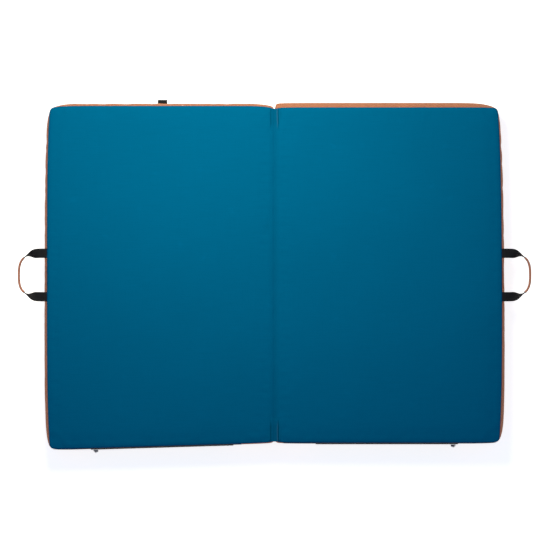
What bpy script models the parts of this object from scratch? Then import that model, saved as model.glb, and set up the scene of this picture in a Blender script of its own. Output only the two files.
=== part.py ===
"""A hinged bouldering crash pad, lying open on the ground with its landing face up.

The hinge crease runs along Y through the origin, X runs from the left half to the
right half, and Z is up from the ground. Every size is in metres.
"""
import math

import bmesh
import bpy
from mathutils import Matrix, Vector

# Fabric, webbing and fits
FABRIC = 0.0012
WEBBING = 0.0016
WEBBING_WIDTH = 0.025
FIT_GAP = 0.0003
FLEX_GAP = 0.0009
CUT_OVERRUN = 0.002

# How the shapes are drawn
SHARP_ANGLE = math.radians(35)
BEVEL_ANGLE = math.radians(50)
BEVEL_SEGMENTS = 2
FLAT_ANGLE = math.radians(1)
MERGE_DISTANCE = 0.00003
RECTANGLE_STEPS = 3
ROUND_SEGMENTS = 16
WIRE_STEPS = 2
TURN_STEPS = 6

# One half, between its seams
HALF_LENGTH = 0.5955
HALF_WIDTH = 0.4455
HINGE_HALF_GAP = 0.004
CORNER_RADIUS = 0.009
HINGE_CORNER_RADIUS = 0.0035
END_BOW = 0.0075
SIDE_BOW = 0.0015
LEFT_BACK_BOW = 0.0055
END_POWER = 4
SIDE_POWER = 12
CORNER_STEPS = 4
SIDE_STEPS = 8

# Heights of the seams, the crown and the dish that the carrying straps press into the base
SEAM_HIGH = 0.089
SEAM_LOW = 0.006
CROWN = 0.006
CROWN_RUN = 0.050
CROWN_POWER = 2.5
CROWN_SHARES = (0.0, 0.08, 0.25, 0.55, 1.0)
BASE_ROUND = 0.012
BASE_ROUND_SHARES = ((0.0, 1.0), (0.35, 0.36), (1.0, 0.0))
RIM_WIDTH = 0.040
DISH_DEPTH = 0.014
DISH_RUN = 0.030

# Gusset
END_BULGE = 0.009
FRONT_BULGE = 0.004
LEFT_BACK_BULGE = 0.0075
RIGHT_BACK_BULGE = 0.0155
LEFT_FRONT_FLARE = 0.018
BULGE_POWER = 2.2
GUSSET_STEPS = 6

# Foam
FIRM_FOAM_BASE = 0.068
FOAM_CLEARANCE = 0.0008
FOAM_INSET = 0.004
SEAM_STEP = 0.0008

# Fabric across the hinge
HINGE_SAG = 0.0035
HINGE_STEPS = 8

# Carrying handles
HANDLE_SPREAD = 0.058
HANDLE_REACH = 0.069
HANDLE_POWER = 3
HANDLE_DROOP = math.radians(14)
HANDLE_STUB = 0.0082
HANDLE_STEPS = 24
GRIP_HALF_LENGTH = 0.046
GRIP_WIDTH = 0.029
GRIP_WALL = 0.0016
TWIST_START = 0.012
TWIST_END = 0.052

# Hang loop at the back edge of the left half
HANG_REACH = 0.021
HANG_START = 0.0012
HANG_LOW = 0.0020
HANG_HIGH = 0.0085

# Zip along the front gusset, through which the foam comes out
ZIP_HALF_LENGTH = 0.190
ZIP_TAPE_WIDTH = 0.030
ZIP_TAPE = 0.0010
ZIP_CHAIN_WIDTH = 0.006
ZIP_CHAIN = 0.0014
ZIP_STEPS = 12
SLIDER_LENGTH = 0.013
SLIDER_WIDTH = 0.011
SLIDER_PLATE = 0.0022
SLIDER_CLEARANCE = 0.0009
SLIDER_BEVEL = 0.0006
EAR_RADIUS = 0.0026
EAR_HOLE = 0.0013
EAR_WIDTH = 0.0024
EAR_NECK = 0.0033
PULL_WIRE = 0.0014
PULL_WIDTH = 0.009
PULL_LENGTH = 0.028
PULL_CORNER = 0.003

# Shoulder harness under the left half
YOKE_LENGTH = 0.190
YOKE_WIDTH = 0.070
YOKE_THICKNESS = 0.0020
YOKE_FROM_BACK = 0.1835
PATCH_CORNER = 0.006
PAD_TOP_FROM_BACK = 0.1605
PAD_END_FROM_FRONT = 0.3305
PAD_TOP_OFFSET = 0.048
PAD_END_OFFSET = 0.120
PAD_WIDTH = 0.062
PAD_END_WIDTH = 0.030
PAD_THICKNESS = 0.0080
PAD_END_THICKNESS = 0.0030
PAD_END_SHARE = 0.25
PAD_POWER = 3
PAD_STEPS = 16
PAD_SIDES = 12
LOCK_WIDTH = 0.034
LOCK_BAR = 0.003
LOCK_SLOT = 0.0048
LOCK_SLOT_WIDTH = 0.0268
LOCK_THICKNESS = 0.0030
LOCK_Z = 0.0075
LOCK_CORNER = 0.003
TAB_OVERLAP = 0.015
LOWER_ANCHOR_FROM_FRONT = 0.1605
LOWER_PATCH_LENGTH = 0.045
LOWER_PATCH_WIDTH = 0.036
TAIL_LENGTH = 0.060

# Closure straps and side-release buckles
CLOSURE_FROM_SIDE = 0.1105
CLOSURE_INSET = 0.110
CLOSURE_LENGTH = 0.270
SOCKET_TAB_LENGTH = 0.060
CLOSURE_PATCH_LENGTH = 0.036
CLOSURE_PATCH_WIDTH = 0.034
BUCKLE_Z = 0.0090
BUCKLE_WIDTH = 0.033
BUCKLE_SLOT = 0.0050
BUCKLE_SLOT_WIDTH = 0.0265
BUCKLE_BAR = 0.0034
BUCKLE_BAR_THICKNESS = 0.0040
BUCKLE_BODY = 0.0140
PRONG_LENGTH = 0.0210
PRONG_WIDTH = 0.0045
PRONG_GAP = 0.0035
GUIDE_WIDTH = 0.0060
SOCKET_LENGTH = 0.0260
SOCKET_THICKNESS = 0.0084
SOCKET_MOUTH = 0.0050
SOCKET_MOUTH_WIDTH = 0.0262
SOCKET_DEPTH = 0.0220
SOCKET_WINDOW = 0.0100
BUCKLE_BEVEL = 0.0008
FOLD_BACK = 0.030

# What the pieces are worked out from
FOLD_Z = SEAM_HIGH + CROWN + FIT_GAP
UNDER_BASE = DISH_DEPTH - FIT_GAP
HALF_CENTRE = HINGE_HALF_GAP + HALF_LENGTH / 2
MID_Z = (SEAM_HIGH + SEAM_LOW) / 2
YOKE_Y = HALF_WIDTH - YOKE_FROM_BACK
PAD_TOP_Y = HALF_WIDTH - PAD_TOP_FROM_BACK
PAD_END_Y = PAD_END_FROM_FRONT - HALF_WIDTH
LOWER_ANCHOR_Y = LOWER_ANCHOR_FROM_FRONT - HALF_WIDTH
CLOSURE_Y = HALF_WIDTH - CLOSURE_FROM_SIDE

# Colours, with roughness and metallic value
FINISHES = {
    "blue_fabric": ((0.004, 0.095, 0.215), 0.85, 0.0),
    "orange_fabric": ((0.44, 0.13, 0.06), 0.85, 0.0),
    "black_fabric": ((0.012, 0.012, 0.013), 0.85, 0.0),
    "black_webbing": ((0.010, 0.010, 0.011), 0.80, 0.0),
    "grip_fabric": ((0.40, 0.14, 0.07), 0.80, 0.0),
    "padding_mesh": ((0.018, 0.018, 0.020), 0.90, 0.0),
    "firm_foam": ((0.05, 0.05, 0.055), 0.90, 0.0),
    "soft_foam": ((0.55, 0.52, 0.40), 0.95, 0.0),
    "buckle_plastic": ((0.014, 0.014, 0.015), 0.40, 0.0),
    "zip_metal": ((0.20, 0.20, 0.21), 0.35, 0.9),
}

LEFT = {
    "name": "left", "side": -1, "back_bow": LEFT_BACK_BOW, "back_bulge": LEFT_BACK_BULGE,
    "front_flare": LEFT_FRONT_FLARE,
}
RIGHT = {
    "name": "right", "side": 1, "back_bow": SIDE_BOW, "back_bulge": RIGHT_BACK_BULGE,
    "front_flare": 0.0,
}
X_AXIS = Vector((1, 0, 0))
Y_AXIS = Vector((0, 1, 0))
Z_AXIS = Vector((0, 0, 1))


def clear_scene():
    """Empty the scene, so that the pad is all that it holds."""
    for thing in list(bpy.data.objects):
        bpy.data.objects.remove(thing, do_unlink=True)


def collection(name):
    """A new collection in the scene."""
    made = bpy.data.collections.new(name)
    bpy.context.scene.collection.children.link(made)
    return made


def finish(name):
    """The material of one finish, made the first time that it is asked for."""
    material = bpy.data.materials.get(name)
    if material is None:
        colour, roughness, metallic = FINISHES[name]
        material = bpy.data.materials.new(name)
        material.use_nodes = True
        shader = material.node_tree.nodes["Principled BSDF"]
        shader.inputs["Base Color"].default_value = (*colour, 1.0)
        shader.inputs["Roughness"].default_value = roughness
        shader.inputs["Metallic"].default_value = metallic
    return material


def mesh_object(name, bm, finish_name, parent, smooth=True):
    """An object from a bmesh in world places, hung on its parent."""
    mesh = bpy.data.meshes.new(name)
    bm.to_mesh(mesh)
    bm.free()
    thing = bpy.data.objects.new(name, mesh)
    PAD.objects.link(thing)
    mesh.materials.append(finish(finish_name))
    if smooth:
        mesh.shade_smooth()
        mesh.set_sharp_from_angle(angle=SHARP_ANGLE)
    if parent is not None:
        mesh.transform(Matrix.Translation(-world_place(parent)))
        thing.parent = parent
    return thing


def world_place(empty):
    """Where an empty stands in the world: the sum of the places above it."""
    place = Vector(empty.location)
    while empty.parent is not None:
        empty = empty.parent
        place += empty.location
    return place


def pivot(name, place, parent):
    """An empty on a joint's axis."""
    empty = bpy.data.objects.new(name, None)
    PAD.objects.link(empty)
    empty.location = place
    if parent is not None:
        empty.location = place - world_place(parent)
        empty.parent = parent
    return empty


def solidify(thing, thickness, offset=-1):
    """Give an open surface its thickness, inwards unless told otherwise."""
    modifier = thing.modifiers.new("thickness", "SOLIDIFY")
    modifier.thickness = thickness
    modifier.offset = offset
    modifier.use_even_offset = True
    return modifier


def bevel(thing, width):
    """Round a moulded piece's edges."""
    modifier = thing.modifiers.new("rounding", "BEVEL")
    modifier.width = width
    modifier.segments = BEVEL_SEGMENTS
    modifier.limit_method = "ANGLE"
    modifier.angle_limit = BEVEL_ANGLE
    return modifier


def boolean(thing, operation, other):
    """Cut a piece, or join another shape to it, with a helper that isn't part of the pad."""
    modifier = thing.modifiers.new(operation.lower(), "BOOLEAN")
    modifier.operation = operation
    modifier.solver = "EXACT"
    modifier.object = other
    return modifier


def helper(thing):
    """Move a shape to the cutters, where nothing renders."""
    PAD.objects.unlink(thing)
    CUTTERS.objects.link(thing)
    thing.hide_render = True
    thing.display_type = "WIRE"
    return thing


def face_outwards(bm, centre):
    """Turn every face away from a point inside the piece."""
    bmesh.ops.recalc_face_normals(bm, faces=bm.faces)
    outward = sum(f.normal.dot(f.calc_center_median() - centre) * f.calc_area() for f in bm.faces)
    if outward < 0:
        bmesh.ops.reverse_faces(bm, faces=bm.faces)


def loft(sections, cyclic=False, capped=True):
    """A surface through sections with as many points each, closed by flat ends or back on itself."""
    bm = bmesh.new()
    loops = [[bm.verts.new(p) for p in section] for section in sections]
    count = len(loops[0])
    pairs = list(zip(loops, loops[1:]))
    if cyclic:
        pairs.append((loops[-1], loops[0]))
    for lower, upper in pairs:
        for i in range(count):
            j = (i + 1) % count
            bm.faces.new((lower[i], lower[j], upper[j], upper[i]))
    if capped and not cyclic:
        bm.faces.new(reversed(loops[0]))
        bm.faces.new(loops[-1])
    bmesh.ops.recalc_face_normals(bm, faces=bm.faces)
    if bm.calc_volume(signed=True) < 0:
        bmesh.ops.reverse_faces(bm, faces=bm.faces)
    return bm


def box(low, high):
    """A box between two corners."""
    bm = bmesh.new()
    bmesh.ops.create_cube(bm, size=1)
    bmesh.ops.scale(bm, vec=high - low, verts=bm.verts)
    bmesh.ops.translate(bm, vec=(low + high) / 2, verts=bm.verts)
    return bm


def band(path, across, width, thickness):
    """A flat strip along a path, its width lying along one direction at each point."""
    sections = []
    for i, point in enumerate(path):
        ahead = path[min(i + 1, len(path) - 1)] - path[max(i - 1, 0)]
        side = across[i] if isinstance(across, list) else across
        normal = ahead.cross(side).normalized()
        half_width = side * width / 2
        half_thickness = normal * thickness / 2
        sections.append([
            point - half_width - half_thickness,
            point + half_width - half_thickness,
            point + half_width + half_thickness,
            point - half_width + half_thickness,
        ])
    return sections


def turn(centre, start, radius, axis, steps=TURN_STEPS):
    """Half a turn about a bar: points from one side of it to the other, start being a direction."""
    points = []
    for i in range(steps + 1):
        step = Matrix.Rotation(math.pi * i / steps, 3, axis)
        points.append(centre + step @ (start * radius))
    return points


def plate(name, outline, holes, half_thickness, place, finish_name, parent):
    """A flat piece from an outline with holes, lying level, its middle at a place."""
    curve = bpy.data.curves.new(name, "CURVE")
    curve.dimensions = "2D"
    curve.fill_mode = "BOTH"
    curve.extrude = half_thickness
    for points in (outline, *holes):
        spline = curve.splines.new("POLY")
        spline.points.add(len(points) - 1)
        for spot, (x, y) in zip(spline.points, points):
            spot.co = (x, y, 0, 1)
        spline.use_cyclic_u = True
    drawn = bpy.data.objects.new(name + "_outline", curve)
    PAD.objects.link(drawn)
    bpy.context.view_layer.update()
    evaluated = drawn.evaluated_get(bpy.context.evaluated_depsgraph_get())
    mesh = bpy.data.meshes.new_from_object(evaluated)
    bpy.data.objects.remove(drawn, do_unlink=True)
    bm = bmesh.new()
    bm.from_mesh(mesh)
    bpy.data.meshes.remove(mesh)
    bmesh.ops.remove_doubles(bm, verts=bm.verts, dist=MERGE_DISTANCE)
    bmesh.ops.dissolve_limit(bm, angle_limit=FLAT_ANGLE, verts=bm.verts, edges=bm.edges)
    bmesh.ops.recalc_face_normals(bm, faces=bm.faces)
    bmesh.ops.translate(bm, vec=place, verts=bm.verts)
    return mesh_object(name, bm, finish_name, parent)


def rectangle(length, width, corner, steps=RECTANGLE_STEPS):
    """A rectangle about the origin with round corners, as points."""
    points = []
    for quarter in range(4):
        sx = (1, -1, -1, 1)[quarter]
        sy = (1, 1, -1, -1)[quarter]
        for i in range(steps + 1):
            angle = math.pi / 2 * (quarter + i / steps)
            points.append((
                sx * (length / 2 - corner) + corner * math.cos(angle),
                sy * (width / 2 - corner) + corner * math.sin(angle),
            ))
    return points


def smooth(share):
    """Ease from 0 to 1."""
    share = min(max(share, 0), 1)
    return share * share * (3 - 2 * share)


def place_on_half(half, u, v, swell=0):
    """World x and y of a spot u out from the hinge seam and v along it.

    The sides bow, the used front corner of the left half has spread, and swell adds
    the gusset's bulge, from none at a seam to all of it at mid height.
    """
    out_share = u / HALF_LENGTH
    along_share = v / HALF_WIDTH
    side_share = 1 - abs(2 * out_share - 1) ** SIDE_POWER
    end_share = 1 - abs(along_share) ** END_POWER
    bow = half["back_bow"] if v > 0 else SIDE_BOW
    bulge = half["back_bulge"] if v > 0 else FRONT_BULGE
    push_out = (END_BOW + END_BULGE * swell) * out_share * end_share
    push_side = (bow + bulge * swell) * side_share * along_share
    flare = half["front_flare"] * out_share * max(-along_share, 0)
    return half["side"] * (HINGE_HALF_GAP + u + push_out), v + push_side - flare


def ring_corner(quarter, inset):
    """Centre and radius of a corner of a half's outline, which is sharper beside the hinge."""
    su = (1, -1, -1, 1)[quarter]
    sv = (1, 1, -1, -1)[quarter]
    radius = CORNER_RADIUS if su > 0 else HINGE_CORNER_RADIUS
    corner_u = HALF_LENGTH / 2 - inset - radius
    corner_v = HALF_WIDTH - inset - radius
    return Vector((su * corner_u, sv * corner_v)), radius


def ring(half, inset, z, swell=0):
    """The half's outline, drawn in by an inset, as points at one height."""
    flat = []
    for quarter in range(4):
        centre, radius = ring_corner(quarter, inset)
        for i in range(CORNER_STEPS + 1):
            angle = math.pi / 2 * (quarter + i / CORNER_STEPS)
            reach = Vector((math.cos(angle), math.sin(angle))) * radius
            flat.append(centre + reach)
        hinge_side = quarter == 1
        next_centre, next_radius = ring_corner((quarter + 1) % 4, inset)
        side_end = next_centre + reach.normalized() * next_radius
        side_start = flat[-1]
        for i in range(1, 1 if hinge_side else SIDE_STEPS):
            share = (1 - math.cos(math.pi * i / SIDE_STEPS)) / 2
            flat.append(side_start.lerp(side_end, share))
    points = []
    for u, v in flat:
        x, y = place_on_half(half, u + HALF_LENGTH / 2, v, swell)
        points.append(Vector((x, y, z)))
    return points


def crown_height(inset):
    """Height of the landing face, from its seam up to the level middle."""
    share = min(inset / CROWN_RUN, 1)
    return SEAM_HIGH + CROWN * (1 - (1 - share) ** CROWN_POWER)


def base_profile():
    """The base's insets and heights: a round lower edge, the level rim and the dish inside it."""
    profile = [(BASE_ROUND * a, SEAM_LOW * b) for a, b in BASE_ROUND_SHARES]
    profile.append((RIM_WIDTH, 0))
    profile.append((RIM_WIDTH + DISH_RUN / 2, DISH_DEPTH / 2))
    profile.append((RIM_WIDTH + DISH_RUN, DISH_DEPTH))
    return profile


def half_centre(half):
    """A point inside a half."""
    return Vector((half["side"] * HALF_CENTRE, 0, MID_Z))


def open_cover(half, rings):
    """A cover panel's outer surface, closed in the middle and open at its seam."""
    bm = loft(rings, capped=False)
    bm.verts.ensure_lookup_table()
    inner = bm.verts[-len(rings[0]):]
    bm.faces.new(inner)
    face_outwards(bm, half_centre(half))
    return bm


def top_cover(half, parent):
    """The landing panel, crowned inside its seam."""
    insets = [CROWN_RUN * share for share in CROWN_SHARES]
    rings = [ring(half, inset, crown_height(inset)) for inset in insets]
    name = half["name"] + "_top_cover"
    solidify(mesh_object(name, open_cover(half, rings), "blue_fabric", parent), FABRIC)


def base_cover(half, parent):
    """The base panel, level along its rim and pressed in where the straps lie."""
    rings = [ring(half, inset, z) for inset, z in base_profile()]
    name = half["name"] + "_base_cover"
    solidify(mesh_object(name, open_cover(half, rings), "black_fabric", parent), FABRIC)


def gusset_swell(share):
    """How far the gusset bulges at a share of its height."""
    return 1 - abs(2 * share - 1) ** BULGE_POWER


def gusset_low():
    """Height of the gusset's lower edge."""
    return SEAM_LOW + FABRIC + FIT_GAP


def gusset_high():
    """Height of the gusset's upper edge."""
    return SEAM_HIGH - FABRIC - SEAM_STEP


def gusset(half, parent):
    """The side wall between the two seams, bulging at mid height and tight at the corners."""
    rings = []
    for i in range(GUSSET_STEPS + 1):
        share = i / GUSSET_STEPS
        z = gusset_low() + (gusset_high() - gusset_low()) * share
        rings.append(ring(half, 0, z, gusset_swell(share)))
    bm = loft(rings, capped=False)
    face_outwards(bm, half_centre(half))
    solidify(mesh_object(half["name"] + "_gusset", bm, "orange_fabric", parent), FABRIC)


def soft_foam(half, parent):
    """The thick open-cell layer, cut to lie on the base."""
    lift = FABRIC + FOAM_CLEARANCE
    rings = [ring(half, FOAM_INSET, FIRM_FOAM_BASE - FIT_GAP)]
    for inset, z in base_profile()[1:]:
        rings.append(ring(half, inset, z + lift))
    mesh_object(half["name"] + "_soft_foam", loft(rings), "soft_foam", parent)


def firm_foam(half, parent):
    """The closed-cell layer that spreads a landing, under the crown."""
    drop = FABRIC + FOAM_CLEARANCE
    rings = [ring(half, FOAM_INSET, FIRM_FOAM_BASE)]
    for share in CROWN_SHARES:
        inset = max(CROWN_RUN * share, FOAM_INSET)
        if share > 0:
            rings.append(ring(half, inset, crown_height(inset) - drop))
    mesh_object(half["name"] + "_firm_foam", loft(rings), "firm_foam", parent)


def hinge_panel(parent):
    """The landing fabric where it dips between the halves."""
    reach = HINGE_HALF_GAP - FIT_GAP
    path = []
    for i in range(HINGE_STEPS + 1):
        share = 2 * i / HINGE_STEPS - 1
        dip = HINGE_SAG * (1 - share * share)
        path.append(Vector((reach * share, 0, SEAM_HIGH - FABRIC / 2 - dip)))
    length = 2 * (HALF_WIDTH - HINGE_CORNER_RADIUS)
    bm = loft(band(path, Y_AXIS, length, FABRIC))
    mesh_object("hinge_panel", bm, "blue_fabric", parent)


def handle_pivot(half):
    """Where a handle bends, just outside the end seam and level with it."""
    x, _ = place_on_half(half, HALF_LENGTH, 0)
    reach = half["side"] * (HANDLE_STUB + FLEX_GAP)
    return Vector((x + reach, 0, SEAM_HIGH - WEBBING / 2))


def handle_stations(half, lowest, highest):
    """Centre line and width directions of a handle loop between two shares of its length."""
    start = handle_pivot(half)
    droop = Matrix.Rotation(half["side"] * HANDLE_DROOP, 3, Y_AXIS)
    steps = HANDLE_STEPS
    places, across = [], []
    for i in range(steps + 1):
        angle = math.pi / 2 * (lowest + (highest - lowest) * i / steps)
        out = HANDLE_REACH * max(math.cos(angle), 0) ** (2 / HANDLE_POWER)
        along = HANDLE_SPREAD * math.copysign(abs(math.sin(angle)) ** (2 / HANDLE_POWER), angle)
        normal_out = max(math.cos(angle), 0) ** (2 - 2 / HANDLE_POWER) / HANDLE_REACH
        normal_along = math.copysign(abs(math.sin(angle)) ** (2 - 2 / HANDLE_POWER), angle)
        normal = Vector((half["side"] * normal_out, normal_along / HANDLE_SPREAD, 0)).normalized()
        twist = math.pi / 2 * smooth((out - TWIST_START) / (TWIST_END - TWIST_START))
        width_way = normal * math.cos(twist) + Z_AXIS * math.sin(twist)
        places.append(start + droop @ Vector((half["side"] * out, along, 0)))
        across.append(droop @ width_way)
    return places, across


def grip_share():
    """Share of the handle's quarter turn at which the grip ends."""
    return math.asin((GRIP_HALF_LENGTH / HANDLE_SPREAD) ** (HANDLE_POWER / 2)) / (math.pi / 2)


def handle(half, anchor_parent, parent):
    """A handle: sewn ends at the top seam, a twisting loop of webbing and a grip sleeve round it."""
    name = half["name"] + "_handle_"
    seam_x = place_on_half(half, HALF_LENGTH, 0)[0] + half["side"] * FIT_GAP
    bend_x = handle_pivot(half).x - half["side"] * FLEX_GAP
    low_x, high_x = sorted((seam_x, bend_x))
    half_size = Vector(((high_x - low_x) / 2, WEBBING_WIDTH / 2, WEBBING / 2))
    for end, end_name in ((1, "back"), (-1, "front")):
        centre = Vector(((low_x + high_x) / 2, end * HANDLE_SPREAD, SEAM_HIGH - WEBBING / 2))
        stub = box(centre - half_size, centre + half_size)
        mesh_object(name + end_name + "_anchor", stub, "black_webbing", anchor_parent, smooth=False)

    places, across = handle_stations(half, -half["side"], half["side"])
    webbing = loft(band(places, across, WEBBING_WIDTH, WEBBING))
    mesh_object(name + "webbing", webbing, "black_webbing", parent)

    share = grip_share()
    places, across = handle_stations(half, -share, share)
    inner_width = GRIP_WIDTH - 2 * GRIP_WALL
    sleeve = loft(band(places, across, inner_width, WEBBING + 2 * FIT_GAP), capped=False)
    face_outwards(sleeve, handle_pivot(half))
    thing = mesh_object(name + "grip", sleeve_outwards(sleeve, places), "grip_fabric", parent)
    solidify(thing, GRIP_WALL, offset=1)


def sleeve_outwards(bm, places):
    """Turn a sleeve's faces away from the line that it goes round."""
    outward = 0
    for face in bm.faces:
        middle = face.calc_center_median()
        nearest = min(places, key=lambda p: (p - middle).length)
        outward += face.normal.dot(middle - nearest) * face.calc_area()
    if outward < 0:
        bmesh.ops.reverse_faces(bm, faces=bm.faces)
    return bm


def hang_loop(parent):
    """A folded loop of webbing sewn into the base seam at the back of the left half."""
    x, seam_y = place_on_half(LEFT, HALF_LENGTH / 2, HALF_WIDTH)
    radius = (HANG_HIGH - HANG_LOW) / 2
    turn_y = seam_y + HANG_REACH - radius - WEBBING / 2
    centre = Vector((x, turn_y, (HANG_HIGH + HANG_LOW) / 2))
    start_y = seam_y + HANG_START
    path = [Vector((x, start_y, HANG_HIGH))]
    path += turn(centre, Z_AXIS, radius, -X_AXIS)
    path.append(Vector((x, start_y, HANG_LOW)))
    mesh_object("hang_loop", loft(band(path, X_AXIS, WEBBING_WIDTH, WEBBING)), "black_webbing", parent)


def front_wall(half, along, z, stand_off):
    """A spot on the front gusset's outer face, or some way off it."""
    share = (z - gusset_low()) / (gusset_high() - gusset_low())
    x, y = place_on_half(half, HALF_LENGTH / 2 + along, -HALF_WIDTH, gusset_swell(share))
    return Vector((x, y - stand_off, z))


def zip_strip(half, width, thickness, stand_off, levels):
    """A strip that follows the front gusset along the zip."""
    sections = []
    for i in range(ZIP_STEPS + 1):
        along = ZIP_HALF_LENGTH * (2 * i / ZIP_STEPS - 1)
        heights = [MID_Z + width * (j / levels - 1 / 2) for j in range(levels + 1)]
        inner = [front_wall(half, along, z, stand_off) for z in heights]
        outer = [front_wall(half, along, z, stand_off + thickness) for z in reversed(heights)]
        sections.append(inner + outer)
    return loft(sections)


def slider_place(half):
    """The slider's middle, on the chain at the closed end of the zip, which is the outer one."""
    along = ZIP_HALF_LENGTH - SLIDER_LENGTH
    stand_off = FIT_GAP + ZIP_TAPE + FIT_GAP + ZIP_CHAIN + SLIDER_CLEARANCE + SLIDER_PLATE / 2
    return front_wall(half, along, MID_Z, stand_off)


def pull_place(half):
    """The middle of the ear's hole, which the pull hangs in."""
    return slider_place(half) - Y_AXIS * (SLIDER_PLATE / 2 + EAR_RADIUS)


def zip_slider(half, parent):
    """The slider's plate with the ear that carries the pull."""
    name = half["name"] + "_zip_slider"
    middle = slider_place(half)
    size = Vector((SLIDER_LENGTH, SLIDER_PLATE, SLIDER_WIDTH))
    thing = mesh_object(name, box(middle - size / 2, middle + size / 2), "zip_metal", parent)
    bevel(thing, SLIDER_BEVEL)
    ear_place = pull_place(half)
    bm = bmesh.new()
    turned = Matrix.Translation(ear_place) @ Matrix.Rotation(math.pi / 2, 4, "Y")
    bmesh.ops.create_cone(bm, cap_ends=True, segments=ROUND_SEGMENTS, radius1=EAR_RADIUS,
                          radius2=EAR_RADIUS, depth=EAR_WIDTH, matrix=turned)
    neck_reach = EAR_RADIUS + SLIDER_PLATE / 2
    ear = helper(mesh_object(name + "_ear", bm, "zip_metal", parent))
    low = ear_place + Vector((-EAR_WIDTH / 2, 0, -EAR_NECK / 2))
    high = ear_place + Vector((EAR_WIDTH / 2, neck_reach, EAR_NECK / 2))
    neck = helper(mesh_object(name + "_neck", box(low, high), "zip_metal", parent))
    bm = bmesh.new()
    bmesh.ops.create_cone(bm, cap_ends=True, segments=ROUND_SEGMENTS, radius1=EAR_HOLE,
                          radius2=EAR_HOLE, depth=EAR_WIDTH + CUT_OVERRUN, matrix=turned)
    hole = helper(mesh_object(name + "_hole", bm, "zip_metal", parent))
    boolean(thing, "UNION", neck)
    boolean(thing, "UNION", ear)
    boolean(thing, "DIFFERENCE", hole)


def zip_pull(half, parent):
    """A wire loop that hangs from the slider's ear."""
    top = pull_place(half)
    curve = bpy.data.curves.new(half["name"] + "_zip_pull", "CURVE")
    curve.dimensions = "3D"
    curve.bevel_depth = PULL_WIRE / 2
    curve.bevel_resolution = WIRE_STEPS
    spline = curve.splines.new("POLY")
    points = rectangle(PULL_WIDTH, PULL_LENGTH, PULL_CORNER)
    spline.points.add(len(points) - 1)
    spline.use_cyclic_u = True
    for spot, (x, z) in zip(spline.points, points):
        spot.co = (x, 0, z - PULL_LENGTH / 2, 1)
    thing = bpy.data.objects.new(half["name"] + "_zip_pull", curve)
    curve.materials.append(finish("zip_metal"))
    PAD.objects.link(thing)
    thing.parent = parent
    thing.location = top - world_place(parent)


def zip_parts(half, parent, slider_parent, pull_parent):
    """The zip in the front gusset: tape, chain, slider and pull."""
    tape = zip_strip(half, ZIP_TAPE_WIDTH, ZIP_TAPE, FIT_GAP, levels=4)
    mesh_object(half["name"] + "_zip_tape", tape, "black_fabric", parent)
    chain_off = FIT_GAP + ZIP_TAPE + FIT_GAP
    chain = zip_strip(half, ZIP_CHAIN_WIDTH, ZIP_CHAIN, chain_off, levels=1)
    mesh_object(half["name"] + "_zip_chain", chain, "buckle_plastic", parent)
    zip_slider(half, slider_parent)
    zip_pull(half, pull_parent)


def patch_z(thickness):
    """Middle height of a patch sewn to the base."""
    return UNDER_BASE - thickness / 2


def strap_z():
    """Middle height of webbing that lies on a sewn patch."""
    return UNDER_BASE - WEBBING - FIT_GAP - WEBBING / 2


def pad_z(thickness):
    """Middle height of a shoulder pad of some thickness, lying on the yoke's level."""
    return UNDER_BASE - YOKE_THICKNESS - FIT_GAP - thickness / 2


def yoke(parent):
    """The patch that both shoulder pads are sewn to."""
    outline = rectangle(YOKE_LENGTH, YOKE_WIDTH, PATCH_CORNER)
    place = Vector((-HALF_CENTRE, YOKE_Y, patch_z(YOKE_THICKNESS)))
    plate("harness_yoke", outline, (), YOKE_THICKNESS / 2, place, "black_fabric", parent)


def shoulder_pad(side, name, parent):
    """A padded strap that curves outwards and narrows at both ends."""
    sections = []
    for i in range(PAD_STEPS + 1):
        share = i / PAD_STEPS
        y = PAD_TOP_Y + (PAD_END_Y - PAD_TOP_Y) * share
        x = -HALF_CENTRE + side * (PAD_TOP_OFFSET + (PAD_END_OFFSET - PAD_TOP_OFFSET) * smooth(share))
        fullness = smooth(share / PAD_END_SHARE) * smooth((1 - share) / PAD_END_SHARE)
        width = PAD_END_WIDTH + (PAD_WIDTH - PAD_END_WIDTH) * fullness
        thickness = PAD_END_THICKNESS + (PAD_THICKNESS - PAD_END_THICKNESS) * fullness
        settle = smooth(1 - (1 - share) / PAD_END_SHARE)
        z = pad_z(thickness) * (1 - settle) + LOCK_Z * settle
        section = []
        for k in range(PAD_SIDES):
            angle = 2 * math.pi * (k + 1 / 2) / PAD_SIDES
            across = math.copysign(abs(math.cos(angle)) ** (2 / PAD_POWER), math.cos(angle))
            up = math.copysign(abs(math.sin(angle)) ** (2 / PAD_POWER), math.sin(angle))
            section.append(Vector((x + across * width / 2, y, z + up * thickness / 2)))
        sections.append(section)
    mesh_object(name + "_shoulder_pad", loft(sections), "padding_mesh", parent)


def lock_bars(x):
    """Middles of a ladder lock's four bars, from its pad end to its webbing end."""
    first_y = PAD_END_Y - LOCK_SLOT / 2 - LOCK_BAR / 2
    return [Vector((x, first_y - i * (LOCK_BAR + LOCK_SLOT), LOCK_Z)) for i in range(4)]


def ladder_lock(x, name, parent):
    """A moulded frame with three slots that the webbing is threaded through."""
    bars = lock_bars(x)
    centre = (bars[0] + bars[-1]) / 2
    length = abs(bars[0].y - bars[-1].y) + LOCK_BAR
    holes = []
    for i in range(3):
        middle = (bars[i].y + bars[i + 1].y) / 2 - centre.y
        slot = rectangle(LOCK_SLOT_WIDTH, LOCK_SLOT, FIT_GAP, steps=1)
        holes.append([(a, b + middle) for a, b in slot])
    outline = rectangle(LOCK_WIDTH, length, LOCK_CORNER)
    plate(name + "_ladder_lock", outline, holes, LOCK_THICKNESS / 2, centre, "buckle_plastic", parent)


def turn_radius(bar_length, bar_thickness):
    """Radius of webbing's middle where it goes round a square bar's corners."""
    return math.hypot(bar_length, bar_thickness) / 2 + FIT_GAP + WEBBING / 2


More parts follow.
